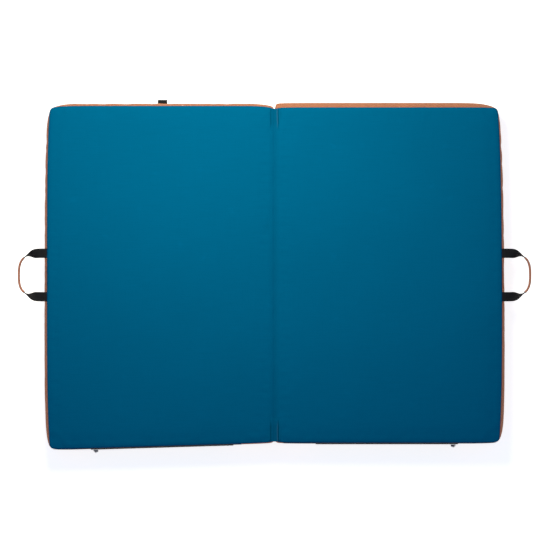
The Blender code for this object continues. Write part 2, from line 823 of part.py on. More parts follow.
def strap_tab(x, name, parent):
    """The short webbing that holds the ladder lock on the pad's end, one layer on each face."""
    bar = lock_bars(x)[0]
    radius = turn_radius(LOCK_BAR, max(LOCK_THICKNESS, PAD_END_THICKNESS))
    start_y = PAD_END_Y + TAB_OVERLAP
    path = [Vector((x, start_y, LOCK_Z + radius))]
    path += turn(bar, Z_AXIS, radius, X_AXIS)
    path.append(Vector((x, start_y, LOCK_Z - radius)))
    bm = loft(band(path, X_AXIS, WEBBING_WIDTH, WEBBING))
    mesh_object(name + "_strap_tab", bm, "black_webbing", parent)


def lower_webbing(x, name, parent):
    """The adjusting webbing: up from its anchor, round the lock's third bar and back as a tail."""
    bar = lock_bars(x)[2]
    radius = turn_radius(LOCK_BAR, LOCK_THICKNESS)
    anchor_y = LOWER_ANCHOR_Y
    path = [Vector((x, anchor_y, strap_z()))]
    path += turn(bar, Z_AXIS, radius, -X_AXIS)
    path.append(Vector((x, bar.y - TAIL_LENGTH, LOCK_Z - radius)))
    bm = loft(band(path, X_AXIS, WEBBING_WIDTH, WEBBING))
    mesh_object(name + "_lower_webbing", bm, "black_webbing", parent)
    outline = rectangle(LOWER_PATCH_LENGTH, LOWER_PATCH_WIDTH, PATCH_CORNER)
    place = Vector((x, anchor_y, patch_z(WEBBING)))
    plate(name + "_lower_anchor", outline, (), WEBBING / 2, place, "black_fabric", parent)


def closure_x(half):
    """Where a closure strap comes out from under its patch, inside the dish at the outer end."""
    return half["side"] * (HINGE_HALF_GAP + HALF_LENGTH - CLOSURE_INSET)


def closure_pivot(half, row):
    """Where a closure strap bends, under the inner edge of its sewn patch."""
    return Vector((closure_x(half), row * CLOSURE_Y, strap_z()))


def closure_patch(half, row, name, parent):
    """The sewn patch that holds a closure strap to the base."""
    outline = rectangle(CLOSURE_PATCH_LENGTH, CLOSURE_PATCH_WIDTH, PATCH_CORNER)
    x = closure_x(half) + half["side"] * CLOSURE_PATCH_LENGTH / 2
    place = Vector((x, row * CLOSURE_Y, patch_z(WEBBING)))
    plate(name, outline, (), WEBBING / 2, place, "black_fabric", parent)


def buckle_strap(half, row, length, name, parent):
    """Webbing from its patch to the buckle's bar, round it and folded back."""
    start = closure_pivot(half, row)
    inward = Vector((-half["side"], 0, 0))
    radius = turn_radius(BUCKLE_BAR, BUCKLE_BAR_THICKNESS)
    bar = Vector((start.x, start.y, BUCKLE_Z)) + inward * length
    path = [start, bar - inward * FOLD_BACK + Z_AXIS * radius]
    path += turn(bar, Z_AXIS, radius, Y_AXIS * -half["side"])
    path.append(bar - inward * FOLD_BACK - Z_AXIS * radius)
    mesh_object(name, loft(band(path, Y_AXIS, WEBBING_WIDTH, WEBBING)), "black_webbing", parent)
    return bar, inward


def mirrored(points, inward):
    """Points drawn with the buckle running along +X, turned to run inwards."""
    return [(x * inward.x, y) for x, y in points]


def buckle_frame():
    """Outline and slot of a buckle's webbing end, its bar at the origin, running along +X."""
    front = BUCKLE_BAR / 2 + BUCKLE_SLOT
    slot = [
        (BUCKLE_BAR / 2, -BUCKLE_SLOT_WIDTH / 2),
        (front, -BUCKLE_SLOT_WIDTH / 2),
        (front, BUCKLE_SLOT_WIDTH / 2),
        (BUCKLE_BAR / 2, BUCKLE_SLOT_WIDTH / 2),
    ]
    return front, slot


def buckle_tongue(bar, inward, name, parent):
    """The plug half of a side-release buckle: a frame, two springy prongs and a guide."""
    front, slot = buckle_frame()
    half_width = BUCKLE_WIDTH / 2
    shoulder = front + BUCKLE_BODY / 2
    tip = shoulder + PRONG_LENGTH
    prong_out = SOCKET_MOUTH_WIDTH / 2 - FIT_GAP
    prong_in = prong_out - PRONG_WIDTH
    upper = [
        (-BUCKLE_BAR / 2, half_width),
        (shoulder - PRONG_GAP, half_width),
        (shoulder, prong_out),
        (shoulder + PRONG_LENGTH / 2, prong_out),
        (tip - PRONG_WIDTH, half_width - PRONG_WIDTH / 2),
        (tip, prong_in),
        (tip - PRONG_WIDTH, prong_in - PRONG_WIDTH / 4),
        (shoulder + PRONG_LENGTH / 2, prong_in),
        (shoulder + PRONG_GAP, prong_in),
        (shoulder + PRONG_GAP, GUIDE_WIDTH / 2),
        (tip - PRONG_WIDTH, GUIDE_WIDTH / 2),
    ]
    outline = upper + [(x, -y) for x, y in reversed(upper)]
    plate(name, mirrored(outline, inward), [mirrored(slot, inward)], BUCKLE_BAR_THICKNESS / 2,
          bar, "buckle_plastic", parent)


def buckle_socket(bar, inward, name, parent):
    """The socket half: a flat box with a mouth and two side windows, and a frame for its webbing."""
    front, slot = buckle_frame()
    half_width = BUCKLE_WIDTH / 2
    near = front + BUCKLE_BAR
    frame = [(-BUCKLE_BAR / 2, -half_width), (near + CUT_OVERRUN, -half_width),
             (near + CUT_OVERRUN, half_width), (-BUCKLE_BAR / 2, half_width)]
    rear = helper(plate(name + "_rear", mirrored(frame, inward), [mirrored(slot, inward)],
                        BUCKLE_BAR_THICKNESS / 2, bar, "buckle_plastic", parent))

    def span(start, end, width, height):
        """A box along the buckle, centred on it."""
        a, b = bar + inward * start, bar + inward * end
        half_size = Vector((0, width / 2, height / 2))
        low = Vector((min(a.x, b.x), bar.y, bar.z)) - half_size
        high = Vector((max(a.x, b.x), bar.y, bar.z)) + half_size
        return box(low, high)

    far = near + SOCKET_LENGTH
    shell = mesh_object(name, span(near, far, BUCKLE_WIDTH, SOCKET_THICKNESS), "buckle_plastic", parent)
    bevel(shell, BUCKLE_BEVEL)
    boolean(shell, "UNION", rear)
    cuts = {
        "mouth": span(far - SOCKET_DEPTH, far + CUT_OVERRUN, SOCKET_MOUTH_WIDTH, SOCKET_MOUTH),
        "windows": span(far - SOCKET_DEPTH + BUCKLE_BAR, far - SOCKET_DEPTH + BUCKLE_BAR + SOCKET_WINDOW,
                        BUCKLE_WIDTH + CUT_OVERRUN, SOCKET_MOUTH),
    }
    for cut_name, bm in cuts.items():
        cutter = helper(mesh_object(name + "_" + cut_name, bm, "buckle_plastic", parent, smooth=False))
        boolean(shell, "DIFFERENCE", cutter)


def half_pad(half, parent):
    """Everything that both halves have."""
    name = half["name"]
    top_cover(half, parent)
    gusset(half, parent)
    base_cover(half, parent)
    firm_foam(half, parent)
    soft_foam(half, parent)
    bend = pivot(name + "_handle_bend", handle_pivot(half), parent)
    handle(half, parent, bend)
    run = pivot(name + "_zip_run", slider_place(half), parent)
    swing = pivot(name + "_pull_swing", pull_place(half), run)
    zip_parts(half, parent, run, swing)


def harness(parent):
    """The shoulder straps under the left half."""
    yoke(parent)
    for side, name in ((1, "inner"), (-1, "outer")):
        x = -HALF_CENTRE + side * PAD_END_OFFSET
        top_z = pad_z(PAD_END_THICKNESS)
        top_x = -HALF_CENTRE + side * PAD_TOP_OFFSET
        lift = pivot(name + "_shoulder_lift", Vector((top_x, PAD_TOP_Y, top_z)), parent)
        shoulder_pad(side, name, lift)
        ladder_lock(x, name, lift)
        strap_tab(x, name, lift)
        lower_webbing(x, name, parent)


def closures(left_parent, right_parent):
    """Two straps that hold the folded pad shut: plug ends on the left half, sockets on the right."""
    for row, name in ((1, "back"), (-1, "front")):
        closure_patch(LEFT, row, name + "_closure_anchor", left_parent)
        bend = pivot(name + "_closure_bend", closure_pivot(LEFT, row), left_parent)
        bar, inward = buckle_strap(LEFT, row, CLOSURE_LENGTH, name + "_closure_strap", bend)
        buckle_tongue(bar, inward, name + "_buckle_tongue", bend)
        closure_patch(RIGHT, row, name + "_socket_anchor", right_parent)
        bend = pivot(name + "_socket_bend", closure_pivot(RIGHT, row), right_parent)
        bar, inward = buckle_strap(RIGHT, row, SOCKET_TAB_LENGTH, name + "_socket_tab", bend)
        buckle_socket(bar, inward, name + "_buckle_socket", bend)


def crash_pad():
    """The whole pad, open, its left half able to fold over onto the right."""
    pad = pivot("crash_pad", Vector((0, 0, 0)), None)
    fold = pivot("fold_line", Vector((0, 0, FOLD_Z)), pad)
    half_pad(RIGHT, pad)
    half_pad(LEFT, fold)
    hinge_panel(pad)
    hang_loop(fold)
    harness(fold)
    closures(fold, pad)


clear_scene()
PAD = collection("crash_pad")
CUTTERS = collection("cutters")
crash_pad()
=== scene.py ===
"""Dresses the crash pad's fixed frame: covers, side walls, webbing, fittings and the studio.

The hinge crease runs along Y through the origin, X runs from the left half to the right
half and Z is up from the ground. Every size is in metres.
"""
import math

import bmesh
import bpy
from bpy.props import FloatProperty, FloatVectorProperty, IntProperty, PointerProperty
from bpy.types import Operator, Panel, PropertyGroup
from mathutils import Matrix, Vector


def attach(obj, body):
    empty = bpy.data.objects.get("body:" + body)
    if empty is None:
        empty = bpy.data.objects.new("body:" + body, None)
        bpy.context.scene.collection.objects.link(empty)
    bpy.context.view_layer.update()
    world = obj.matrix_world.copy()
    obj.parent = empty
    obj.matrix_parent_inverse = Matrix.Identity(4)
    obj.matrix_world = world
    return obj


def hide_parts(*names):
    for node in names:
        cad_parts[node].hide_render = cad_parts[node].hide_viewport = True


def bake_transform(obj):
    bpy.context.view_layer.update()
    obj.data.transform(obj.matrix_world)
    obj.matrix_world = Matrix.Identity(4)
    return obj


bl_info = {
    "name": "Crash Pad",
    "version": (1, 0, 0),
    "blender": (4, 5, 0),
    "location": "3D View > Sidebar > Crash Pad",
    "description": "Makes the covers, webbing and fittings of a hinged bouldering crash pad",
    "category": "Add Mesh",
}

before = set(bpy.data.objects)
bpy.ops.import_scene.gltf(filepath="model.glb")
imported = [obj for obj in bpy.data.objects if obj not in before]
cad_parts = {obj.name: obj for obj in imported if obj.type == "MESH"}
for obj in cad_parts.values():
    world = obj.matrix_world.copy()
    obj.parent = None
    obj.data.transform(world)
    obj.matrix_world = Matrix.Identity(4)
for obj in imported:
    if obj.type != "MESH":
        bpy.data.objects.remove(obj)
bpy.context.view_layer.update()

LEFT = {
    "name": "left", "side": -1, "back_bow": 0.0055, "back_bulge": 0.0075, "front_flare": 0.018,
    "back_taper": 0.0, "end_spread": 0.30, "shade_binding_start": 0.085,
}
RIGHT = {
    "name": "right", "side": 1, "back_bow": 0.0015, "back_bulge": 0.0155, "front_flare": 0.0,
    "back_taper": 0.004, "end_spread": 0.45, "shade_binding_start": 0.020,
}
HALVES = (LEFT, RIGHT)
BACK, FRONT = 1, -1
X_AXIS = Vector((1, 0, 0))
Y_AXIS = Vector((0, 1, 0))
Z_AXIS = Vector((0, 0, 1))
SMALLEST = 1e-6
FACE, WALL, BASE = 0, 1, 2

# Length and width of the sewn patches
YOKE_PATCH = (0.190, 0.070)
LOWER_PATCH = (0.045, 0.036)
CLOSURE_PATCH = (0.036, 0.034)


# Settings

def size(name, description, default):
    """A length that a user may change."""
    return FloatProperty(name=name, description=description, default=default, unit="LENGTH",
                         precision=4, min=0.0)


def colour(name, description, default):
    """A colour that a user may change."""
    return FloatVectorProperty(name=name, description=description, default=default,
                               subtype="COLOR", size=3, min=0.0, max=1.0)


def number(name, description, default):
    """A plain number that a user may change."""
    return FloatProperty(name=name, description=description, default=default, min=0.0)


class CushionSizes(PropertyGroup):
    """The two padded halves."""

    length: size("Length", "From the hinge seam of a half to its outer seam", 0.5955)
    half_width: size("Half width", "From the middle of a half to its side seam", 0.4455)
    hinge_gap: size("Hinge gap", "From the hinge line to the seam of a half", 0.004)
    corner: size("Corner", "Radius of the outer corners in plan", 0.009)
    hinge_corner: size("Hinge corner", "Radius of the corners beside the hinge", 0.0035)
    seam_high: size("Upper seam", "Height of the seam round the landing face", 0.089)
    seam_low: size("Lower seam", "Height of the seam round the base", 0.006)
    base_spread: size("Base spread", "How far the base reaches past the landing face", 0.0035)
    crown: size("Crown", "How far the landing face rises inside its seam", 0.006)
    crown_run: size("Crown run", "Distance over which the landing face rises", 0.050)
    rim: size("Rim", "Width of the base that stands on the ground", 0.040)
    dish: size("Dish", "How far the carrying straps press into the base", 0.014)
    dish_run: size("Dish run", "Distance over which the base turns up into the dish", 0.030)
    end_bow: size("End bow", "How far the outer seam bows outwards", 0.0075)
    front_bow: size("Front bow", "How far the front seams bow outwards", 0.0015)
    end_bulge: size("End bulge", "How far an end wall stands out at mid height", 0.009)
    hinge_bulge: size("Hinge bulge", "How far the walls at the hinge stand out", 0.0018)
    front_bulge: size("Front bulge", "How far the front wall stands out at mid height", 0.004)
    fabric: size("Fabric", "Thickness of the covers", 0.0008)
    cell: size("Cell", "Size of the cells that the fabric is worked out on", 0.009)


class FillingSettings(PropertyGroup):
    """How the fabric settles over its filling."""

    pressure: number("Pressure", "How hard the filling pushes the fabric out", 4.0)
    looseness: number("Looseness", "Share by which the fabric is cut larger than the form", 0.012)
    steps: IntProperty(name="Steps", description="Frames of the cloth simulation", default=20, min=2)
    give_out: size("Give outwards", "How far the fabric may stand off the form", 0.0016)
    give_in: size("Give inwards", "How far the fabric may sink into the form", 0.0009)
    start_share: number("Start share", "How full the form is before the filling pushes", 0.7)


class WebbingSizes(PropertyGroup):
    """Handles, straps and the hang loop."""

    width: size("Width", "Width of the webbing", 0.025)
    thickness: size("Thickness", "Thickness of the webbing", 0.0016)
    edge: size("Edge", "Rounding of a webbing edge", 0.0004)
    grip_width: size("Grip width", "Width of the sleeve round a handle", 0.029)
    grip_wall: size("Grip wall", "Thickness of the sleeve's fabric", 0.0012)
    grip_half_length: size("Grip half length", "Half the length of the sleeve", 0.046)


class ZipSizes(PropertyGroup):
    """The zips in the front walls."""

    half_length: size("Half length", "Half the length of the zip", 0.190)
    tape_width: size("Tape width", "Width of the zip's tape", 0.030)
    tape: size("Tape", "Thickness of the zip's tape", 0.0010)
    tooth_pitch: size("Tooth pitch", "Distance between teeth of one side", 0.0030)
    tooth_length: size("Tooth length", "Length of a tooth across the zip", 0.0036)


class Colours(PropertyGroup):
    """What everything is made of, by colour."""

    landing: colour("Landing cloth", "Blue coated cloth of the landing face", (0.0002, 0.1165, 0.239))
    walls: colour("Wall cloth", "Orange cloth of the side walls", (0.42, 0.150, 0.068))
    base: colour("Base cloth", "Black heavy cloth under the pad", (0.014, 0.014, 0.015))
    webbing: colour("Webbing", "Black webbing", (0.010, 0.010, 0.011))
    grip: colour("Grip cloth", "Orange cloth round the handles", (0.51, 0.208, 0.123))
    padding: colour("Padding mesh", "Open mesh on the shoulder pads", (0.013, 0.013, 0.014))
    plastic: colour("Plastic", "Moulded buckles", (0.016, 0.016, 0.017))
    metal: colour("Zip metal", "Dark nickel of the zip sliders", (0.22, 0.22, 0.23))
    firm_foam: colour("Firm foam", "Closed-cell foam under the landing face", (0.05, 0.05, 0.055))
    soft_foam: colour("Soft foam", "Open-cell foam over the base", (0.55, 0.52, 0.40))
    thread: colour("Thread", "Sewing thread on the black pieces", (0.045, 0.045, 0.048))


class StudioSettings(PropertyGroup):
    """Floor, lights and camera."""

    floor: colour("Floor", "Pale floor", (0.93, 0.93, 0.93))
    floor_glow: number("Floor glow", "How evenly the floor is lit from below", 0.78)
    sky: number("Sky", "Strength of the even light from all round", 0.33)
    sky_tint: colour("Sky tint", "Colour of the even light", (0.50, 0.60, 1.0))
    lamp_power: number("Lamp power", "Watts of the soft lamp over the back edge", 23.0)
    lamp_tint: colour("Lamp tint", "Colour of the soft lamp", (1.0, 0.97, 0.76))
    lamp_size: size("Lamp size", "Width of the soft lamp", 0.9)
    camera_height: size("Camera height", "Height of the camera over the ground", 8.0)
    camera_aside: size("Camera aside", "How far the camera stands to the right", 0.0013)
    view_width: size("View width", "Width of the picture at the height of the upper seam", 1.4665)


class CrashPad(PropertyGroup):
    """All the settings of the pad."""

    cushion: PointerProperty(type=CushionSizes)
    filling: PointerProperty(type=FillingSettings)
    webbing: PointerProperty(type=WebbingSizes)
    zip: PointerProperty(type=ZipSizes)
    colours: PointerProperty(type=Colours)
    studio: PointerProperty(type=StudioSettings)


def settings():
    """The scene's settings of the pad."""
    return bpy.context.scene.crash_pad


# Finishes

BLACK = (0.0, 0.0, 0.0, 1.0)
# Painted highlight: colour of the pale glint streak beside the folds at the crease's ends.
GLINT = (0.035, 0.14, 0.25, 1.0)
DUST = (0.20, 0.16, 0.12, 1.0)
SCUFF = (0.16, 0.155, 0.145, 1.0)
FLOOR_GLOW = (0.985, 1.0, 0.965, 1.0)
STITCH_ROW = 0.0004


class Wire:
    """A shader value that takes part in Python sums; each sum adds the node that works it out."""

    def __init__(self, finish, socket):
        self.finish = finish
        self.socket = socket

    def __add__(self, other):
        return self.finish.math("ADD", self, other)

    def __radd__(self, other):
        return self.finish.math("ADD", other, self)

    def __sub__(self, other):
        return self.finish.math("SUBTRACT", self, other)

    def __rsub__(self, other):
        return self.finish.math("SUBTRACT", other, self)

    def __mul__(self, other):
        return self.finish.math("MULTIPLY", self, other)

    def __rmul__(self, other):
        return self.finish.math("MULTIPLY", other, self)

    def __truediv__(self, other):
        return self.finish.math("DIVIDE", self, other)

    def __mod__(self, other):
        return self.finish.math("FLOORED_MODULO", self, other)

    def __abs__(self):
        return self.finish.math("ABSOLUTE", self)

    def __lt__(self, other):
        return self.finish.math("LESS_THAN", self, other)


class Finish:
    """The nodes of one material."""

    def __init__(self, name):
        self.material = bpy.data.materials.new(name)
        self.material.use_nodes = True
        self.tree = self.material.node_tree
        self.shader = self.tree.nodes["Principled BSDF"]

    def join(self, socket, value):
        """Give a socket a value, or link it."""
        if isinstance(value, Wire):
            self.tree.links.new(value.socket, socket)
        else:
            socket.default_value = value

    def node(self, kind, options, inputs, output=0):
        """Any node: its options first, then the values and links of its sockets."""
        node = self.tree.nodes.new(kind)
        for name, value in options.items():
            setattr(node, name, value)
        for name, value in inputs.items():
            self.join(node.inputs[name], value)
        return Wire(self, node.outputs[output])

    def math(self, operation, *values):
        """One Math node."""
        return self.node("ShaderNodeMath", {"operation": operation}, dict(enumerate(values)))

    def mix(self, share, first, second):
        """A colour between two."""
        inputs = {0: share, 6: first, 7: second}
        return self.node("ShaderNodeMix", {"data_type": "RGBA"}, inputs, output=2)

    def places(self, coordinates):
        """The three numbers of a texture coordinate."""
        vector = self.node("ShaderNodeTexCoord", {}, {}, output=coordinates)
        parts = self.tree.nodes.new("ShaderNodeSeparateXYZ")
        self.join(parts.inputs[0], vector)
        return [Wire(self, socket) for socket in parts.outputs]

    def noise(self, x, y, z=0.0, detail=2.0):
        """Soft noise from 0 to 1 at a place."""
        vector = self.node("ShaderNodeCombineXYZ", {}, {0: x, 1: y, 2: z})
        return self.node("ShaderNodeTexNoise", {}, {"Vector": vector, "Scale": 1.0, "Detail": detail})

    def ridges(self, value):
        """Rounded ridges from 0 to 1, one for each pi that a value grows."""
        return abs(self.math("SINE", value))

    def stitches(self, along, off_row, pitch, length):
        """1 on the stitches of a row, from how far a place lies off the row's middle."""
        return (off_row < STITCH_ROW) * (along % pitch < length)

    def between(self, value, low, high):
        """How far a value has come from low to high, eased, from 0 to 1."""
        options = {"interpolation_type": "SMOOTHSTEP"}
        return self.node("ShaderNodeMapRange", options, {"Value": value, 1: low, 2: high})

    def bumped(self, height, distance):
        """A normal from a height that runs from 0 to 1."""
        inputs = {"Height": height, "Distance": distance, "Strength": 1.0}
        return self.node("ShaderNodeBump", {}, inputs)

    def surface(self, tint, rough, normal=None, shine=0.5, metallic=0.0):
        """Link everything to the shader, and hand the material over."""
        self.join(self.shader.inputs["Base Color"], tint)
        self.join(self.shader.inputs["Roughness"], rough)
        self.shader.inputs["Metallic"].default_value = metallic
        self.shader.inputs["Specular IOR Level"].default_value = shine
        if normal is not None:
            self.join(self.shader.inputs["Normal"], normal)
        return self.material


def shade(tint, factor):
    """A colour made lighter or darker, with its alpha."""
    return (*(min(part * factor, 1.0) for part in tint), 1.0)


def plain_weave(finish, along, across, pitch):
    """Height of a plain weave: 1 on top of a yarn and 0 in the gaps between yarns."""
    warp = along / pitch
    weft = across / pitch
    over = (finish.math("FLOOR", warp) + finish.math("FLOOR", weft)) % 2
    warp_round = finish.ridges(warp * math.pi)
    weft_round = finish.ridges(weft * math.pi)
    lift = over * warp_round * (0.55 + 0.45 * weft_round)
    return lift + (1 - over) * weft_round * (0.55 + 0.45 * warp_round)


def landing_cloth(colours):
    """Blue coated cloth: weave, streaks, handling marks, painted shade along the crease, fold bumps
    with painted shadow lines and a painted glint.
    """
    finish = Finish("landing_cloth")
    x, y, z = finish.places("Object")
    weave = plain_weave(finish, x, y, pitch=0.0011)
    streaks = finish.noise(x * 14, y * 520)
    yarns = finish.noise(x * 700, y * 10)
    clouds = finish.noise(x * 3.1, y * 3.7, z, detail=4.0)
    share = weave * 0.30 + streaks * 0.30 + yarns * 0.15 + clouds * 0.25
    tint = finish.mix(share, shade(colours.landing, 0.78), shade(colours.landing, 1.24))
    marks = finish.between(finish.noise(x * 23, y * 31, 4.0, detail=6.0), 0.62, 0.80)
    tint = finish.mix(marks * 0.10, tint, shade(colours.landing, 1.7))
    crease = 1 - finish.between(abs(x), 0.001, 0.014)
    tab_starts, tab_ends = (0.385, 0.410), (0.4415, 0.4445)
    near_end = finish.between(abs(y), *tab_starts) - finish.between(abs(y), *tab_ends)
    wander = finish.noise(y * 38, 7.0) * 0.004 - 0.002
    fold_aside, glint_aside = 0.0098, 0.0072
    fold = 1 - finish.between(abs(abs(x + wander) - fold_aside), 0.0002, 0.0030)
    glint = 1 - finish.between(abs(x + wander - glint_aside), 0.0003, 0.0014)
    # Painted shade: the cloth darkens towards black along the crease between the halves, more near
    # its ends.
    tint = finish.mix(crease * (0.07 + 0.08 * near_end), tint, BLACK)
    # Painted shadow lines: two dark wavering lines beside the folds near the crease's ends; the same
    # fold mask also sinks a real groove in the bump.
    tint = finish.mix(fold * near_end * 0.30, tint, BLACK)
    # Painted highlight: a pale glint streak beside the folds near the crease's ends.
    tint = finish.mix(glint * near_end * 0.7, tint, GLINT)
    slack = finish.noise(x * 9, y * 5, 2.0, detail=3.0)
    height = weave * 0.10 + slack * 0.9 - fold * near_end * 0.5
    return finish.surface(tint, 0.62 + 0.18 * streaks, finish.bumped(height, 0.0022), shine=0.0)


def wall_cloth(colours):
    """Orange cloth: weave, small upright puckers by both seams, and dust low down."""
    cushion = settings().cushion
    finish = Finish("wall_cloth")
    along, up, _ = finish.places("UV")
    weave = plain_weave(finish, along, up, pitch=0.0012)
    middle = mid_height()
    reach = cushion.seam_high - middle
    edge = finish.between(abs(up - middle) / reach, 0.55, 1.0)
    folds = finish.noise(along * 95, up * 9, detail=2.0)
    waves = finish.noise(along * 17, up * 11, 3.0, detail=3.0)
    share = weave * 0.35 + waves * 0.35 + folds * 0.30
    tint = finish.mix(share, shade(colours.walls, 0.74), shade(colours.walls, 1.22))
    dust = finish.between(middle - up, 0.0, reach) * finish.noise(along * 40, up * 60, detail=5.0)
    tint = finish.mix(dust * 0.30, tint, DUST)
    height = weave * 0.06 + waves * 0.40 + folds * (0.15 + 0.55 * edge)
    return finish.surface(tint, 0.70 + 0.15 * waves, finish.bumped(height, 0.0030), shine=0.15)


def base_cloth(colours):
    """Black heavy cloth: coarse weave with a coated shine, scuffed grey where it stands."""
    finish = Finish("base_cloth")
    x, y, z = finish.places("Object")
    weave = plain_weave(finish, x, y, pitch=0.0018)
    clouds = finish.noise(x * 5, y * 6, detail=4.0)
    share = weave * 0.6 + clouds * 0.4
    tint = finish.mix(share, shade(colours.base, 0.6), shade(colours.base, 1.7))
    stands = 1 - finish.between(z, 0.0005, 0.004)
    scuffs = finish.between(finish.noise(x * 190, y * 230, 1.0, detail=8.0), 0.52, 0.80)
    tint = finish.mix(scuffs * (0.05 + 0.16 * stands), tint, SCUFF)
    slack = finish.noise(x * 11, y * 13, 5.0)
    height = weave * 0.16 + slack * 0.84
    return finish.surface(tint, 0.45 + 0.25 * clouds, finish.bumped(height, 0.0022), shine=0.35)


def strap_webbing(colours):
    """Black webbing: slanting ribs that turn back at the middle, and two plain selvedges."""
    finish = Finish("strap_webbing")
    along, across, _ = finish.places("UV")
    slant = abs(across % 0.0084 - 0.0042)
    ribs = finish.ridges((along + slant) * (math.pi / 0.0017))
    edge = finish.between(abs(across), 0.0105, 0.0118)
    rows = finish.ridges(along * (math.pi / 0.0011))
    height = ribs * (1 - edge) + rows * edge
    fluff = finish.noise(along * 300, across * 300, detail=4.0)
    share = height * 0.6 + fluff * 0.4
    tint = finish.mix(share, shade(colours.webbing, 0.55), shade(colours.webbing, 1.75))
    return finish.surface(tint, 0.62 + 0.2 * fluff, finish.bumped(height, 0.00035), shine=0.15)


def grip_cloth(colours):
    """Orange cloth sleeve: weave, a stitched edge along it and darkening from hands."""
    finish = Finish("grip_cloth")
    along, across, _ = finish.places("UV")
    weave = plain_weave(finish, along, across, pitch=0.0010)
    hands = finish.noise(along * 30, across * 60, detail=4.0)
    share = weave * 0.4 + hands * 0.6
    tint = finish.mix(share, shade(colours.grip, 0.68), shade(colours.grip, 1.25))
    stitches = finish.stitches(along, abs(abs(across) - 0.0042), pitch=0.0034, length=0.0023)
    tint = finish.mix(stitches, tint, shade(colours.grip, 1.7))
    height = weave * 0.15 + hands * 0.60 + stitches * 0.25
    return finish.surface(tint, 0.68 + 0.15 * hands, finish.bumped(height, 0.0010), shine=0.2)


def padding_mesh(colours):
    """Open mesh over padding: rows of small holes, and a ribbed binding along both edges."""
    finish = Finish("padding_mesh")
    along, across, _ = finish.places("UV")
    row = finish.math("FLOOR", across / 0.0030) % 2
    holes_along = finish.ridges((along / 0.0036 + row * 0.5) * math.pi)
    holes_across = finish.ridges(across * (math.pi / 0.0030))
    hole = finish.between(holes_along * holes_across, 0.35, 0.75)
    binding = finish.between(abs(abs(across) - 0.030), 0.0062, 0.0052)
    ribs = finish.ridges(along * (math.pi / 0.0012))
    fluff = finish.noise(along * 120, across * 120, detail=3.0)
    height = (1 - hole) * (1 - binding) + (0.8 + 0.2 * ribs) * binding
    share = height * 0.7 + fluff * 0.3
    tint = finish.mix(share, shade(colours.padding, 0.35), shade(colours.padding, 1.6))
    return finish.surface(tint, 0.75 + 0.15 * fluff, finish.bumped(height, 0.0009), shine=0.2)


def sewn_patch(name, sides, colours):
    """Black cloth patch, sewn on with a box and a cross of thread."""
    finish = Finish(name)
    along, across, _ = finish.places("UV")
    weave = plain_weave(finish, along, across, pitch=0.0016)
    margin = 0.004
    box_length = sides[0] / 2 - margin
    box_width = sides[1] / 2 - margin
    beside = abs(along) - box_length
    beyond = abs(across) - box_width
    box = abs(finish.math("MAXIMUM", beside, beyond)) < 0.0005
    slope = box_width / box_length
    cross = abs(abs(along) * slope - abs(across)) < 0.0006
    cross = cross * (finish.math("MAXIMUM", beside, beyond) < 0.0)
    thread = finish.math("MAXIMUM", box, cross) * ((along + across) % 0.0034 < 0.0024)
    fluff = finish.noise(along * 90, across * 90, detail=4.0)
    share = weave * 0.6 + fluff * 0.4
    tint = finish.mix(share, shade(colours.base, 0.7), shade(colours.base, 1.8))
    tint = finish.mix(thread, tint, shade(colours.thread, 1.0))
    height = weave * 0.25 + thread * 0.75
    return finish.surface(tint, 0.60 + 0.2 * fluff, finish.bumped(height, 0.0006), shine=0.3)


def zip_tape(colours):
    """Black woven tape with a row of stitches along both edges."""
    finish = Finish("zip_tape")
    along, across, _ = finish.places("UV")
    twill = finish.ridges((along + across) * (math.pi / 0.0010))
    stitches = finish.stitches(along, abs(abs(across) - 0.0125), pitch=0.0032, length=0.0022)
    share = twill * 0.7 + finish.noise(along * 80, across * 80) * 0.3
    tint = finish.mix(share, shade(colours.webbing, 0.6), shade(colours.webbing, 1.6))
    tint = finish.mix(stitches, tint, shade(colours.walls, 1.0))
    height = twill * 0.4 + stitches * 0.6
    return finish.surface(tint, 0.7 + 0.1 * twill, finish.bumped(height, 0.0004), shine=0.2)


def moulded_plastic(colours):
    """Black moulded plastic with a fine grain and dull rub marks."""
    finish = Finish("moulded_plastic")
    x, y, z = finish.places("Object")
    grain = finish.noise(x * 2600, y * 2600, z * 2600)
    rubs = finish.noise(x * 130, y * 160, z * 130, detail=6.0)
    tint = finish.mix(rubs, shade(colours.plastic, 0.7), shade(colours.plastic, 1.9))
    height = grain * 0.3 + rubs * 0.7
    return finish.surface(tint, 0.34 + 0.25 * rubs, finish.bumped(height, 0.00012), shine=0.45)


def zip_teeth(colours):
    """Black moulded zip teeth, polished on top by the slider."""
    finish = Finish("zip_teeth")
    x, y, z = finish.places("Object")
    rubs = finish.noise(x * 420, y * 420, z * 420, detail=4.0)
    tint = finish.mix(rubs, shade(colours.plastic, 0.8), shade(colours.plastic, 2.4))
    return finish.surface(tint, 0.28 + 0.3 * rubs, finish.bumped(rubs, 0.0001), shine=0.5)


def zip_metal(colours):
    """Dark nickel with fine scratches."""
    finish = Finish("zip_metal")
    x, y, z = finish.places("Object")
    scratches = finish.noise(x * 3000, y * 180, z * 600, detail=3.0)
    stains = finish.noise(x * 200, y * 200, z * 200, detail=5.0)
    tint = finish.mix(stains, shade(colours.metal, 0.6), shade(colours.metal, 1.5))
    rough = 0.22 + 0.25 * scratches
    return finish.surface(tint, rough, finish.bumped(scratches, 0.00005), shine=0.5, metallic=0.9)


def foam_block(name, tint, cell):
    """Cut foam: round cells of one size, darker in the open ones."""
    finish = Finish(name)
    vector = finish.node("ShaderNodeTexCoord", {}, {}, output="Object")
    cells = finish.node("ShaderNodeTexVoronoi", {}, {"Vector": vector, "Scale": 1 / cell})
    blend = finish.mix(cells, shade(tint, 0.7), shade(tint, 1.15))
    return finish.surface(blend, 0.85 + 0.1 * cells, finish.bumped(cells, cell / 3), shine=0.2)


def studio_floor(studio):
    """Plain pale floor."""
    finish = Finish("studio_floor")
    finish.shader.inputs["Emission Color"].default_value = FLOOR_GLOW
    finish.shader.inputs["Emission Strength"].default_value = studio.floor_glow
    return finish.surface(shade(studio.floor, 1.0), 0.8, shine=0.1)


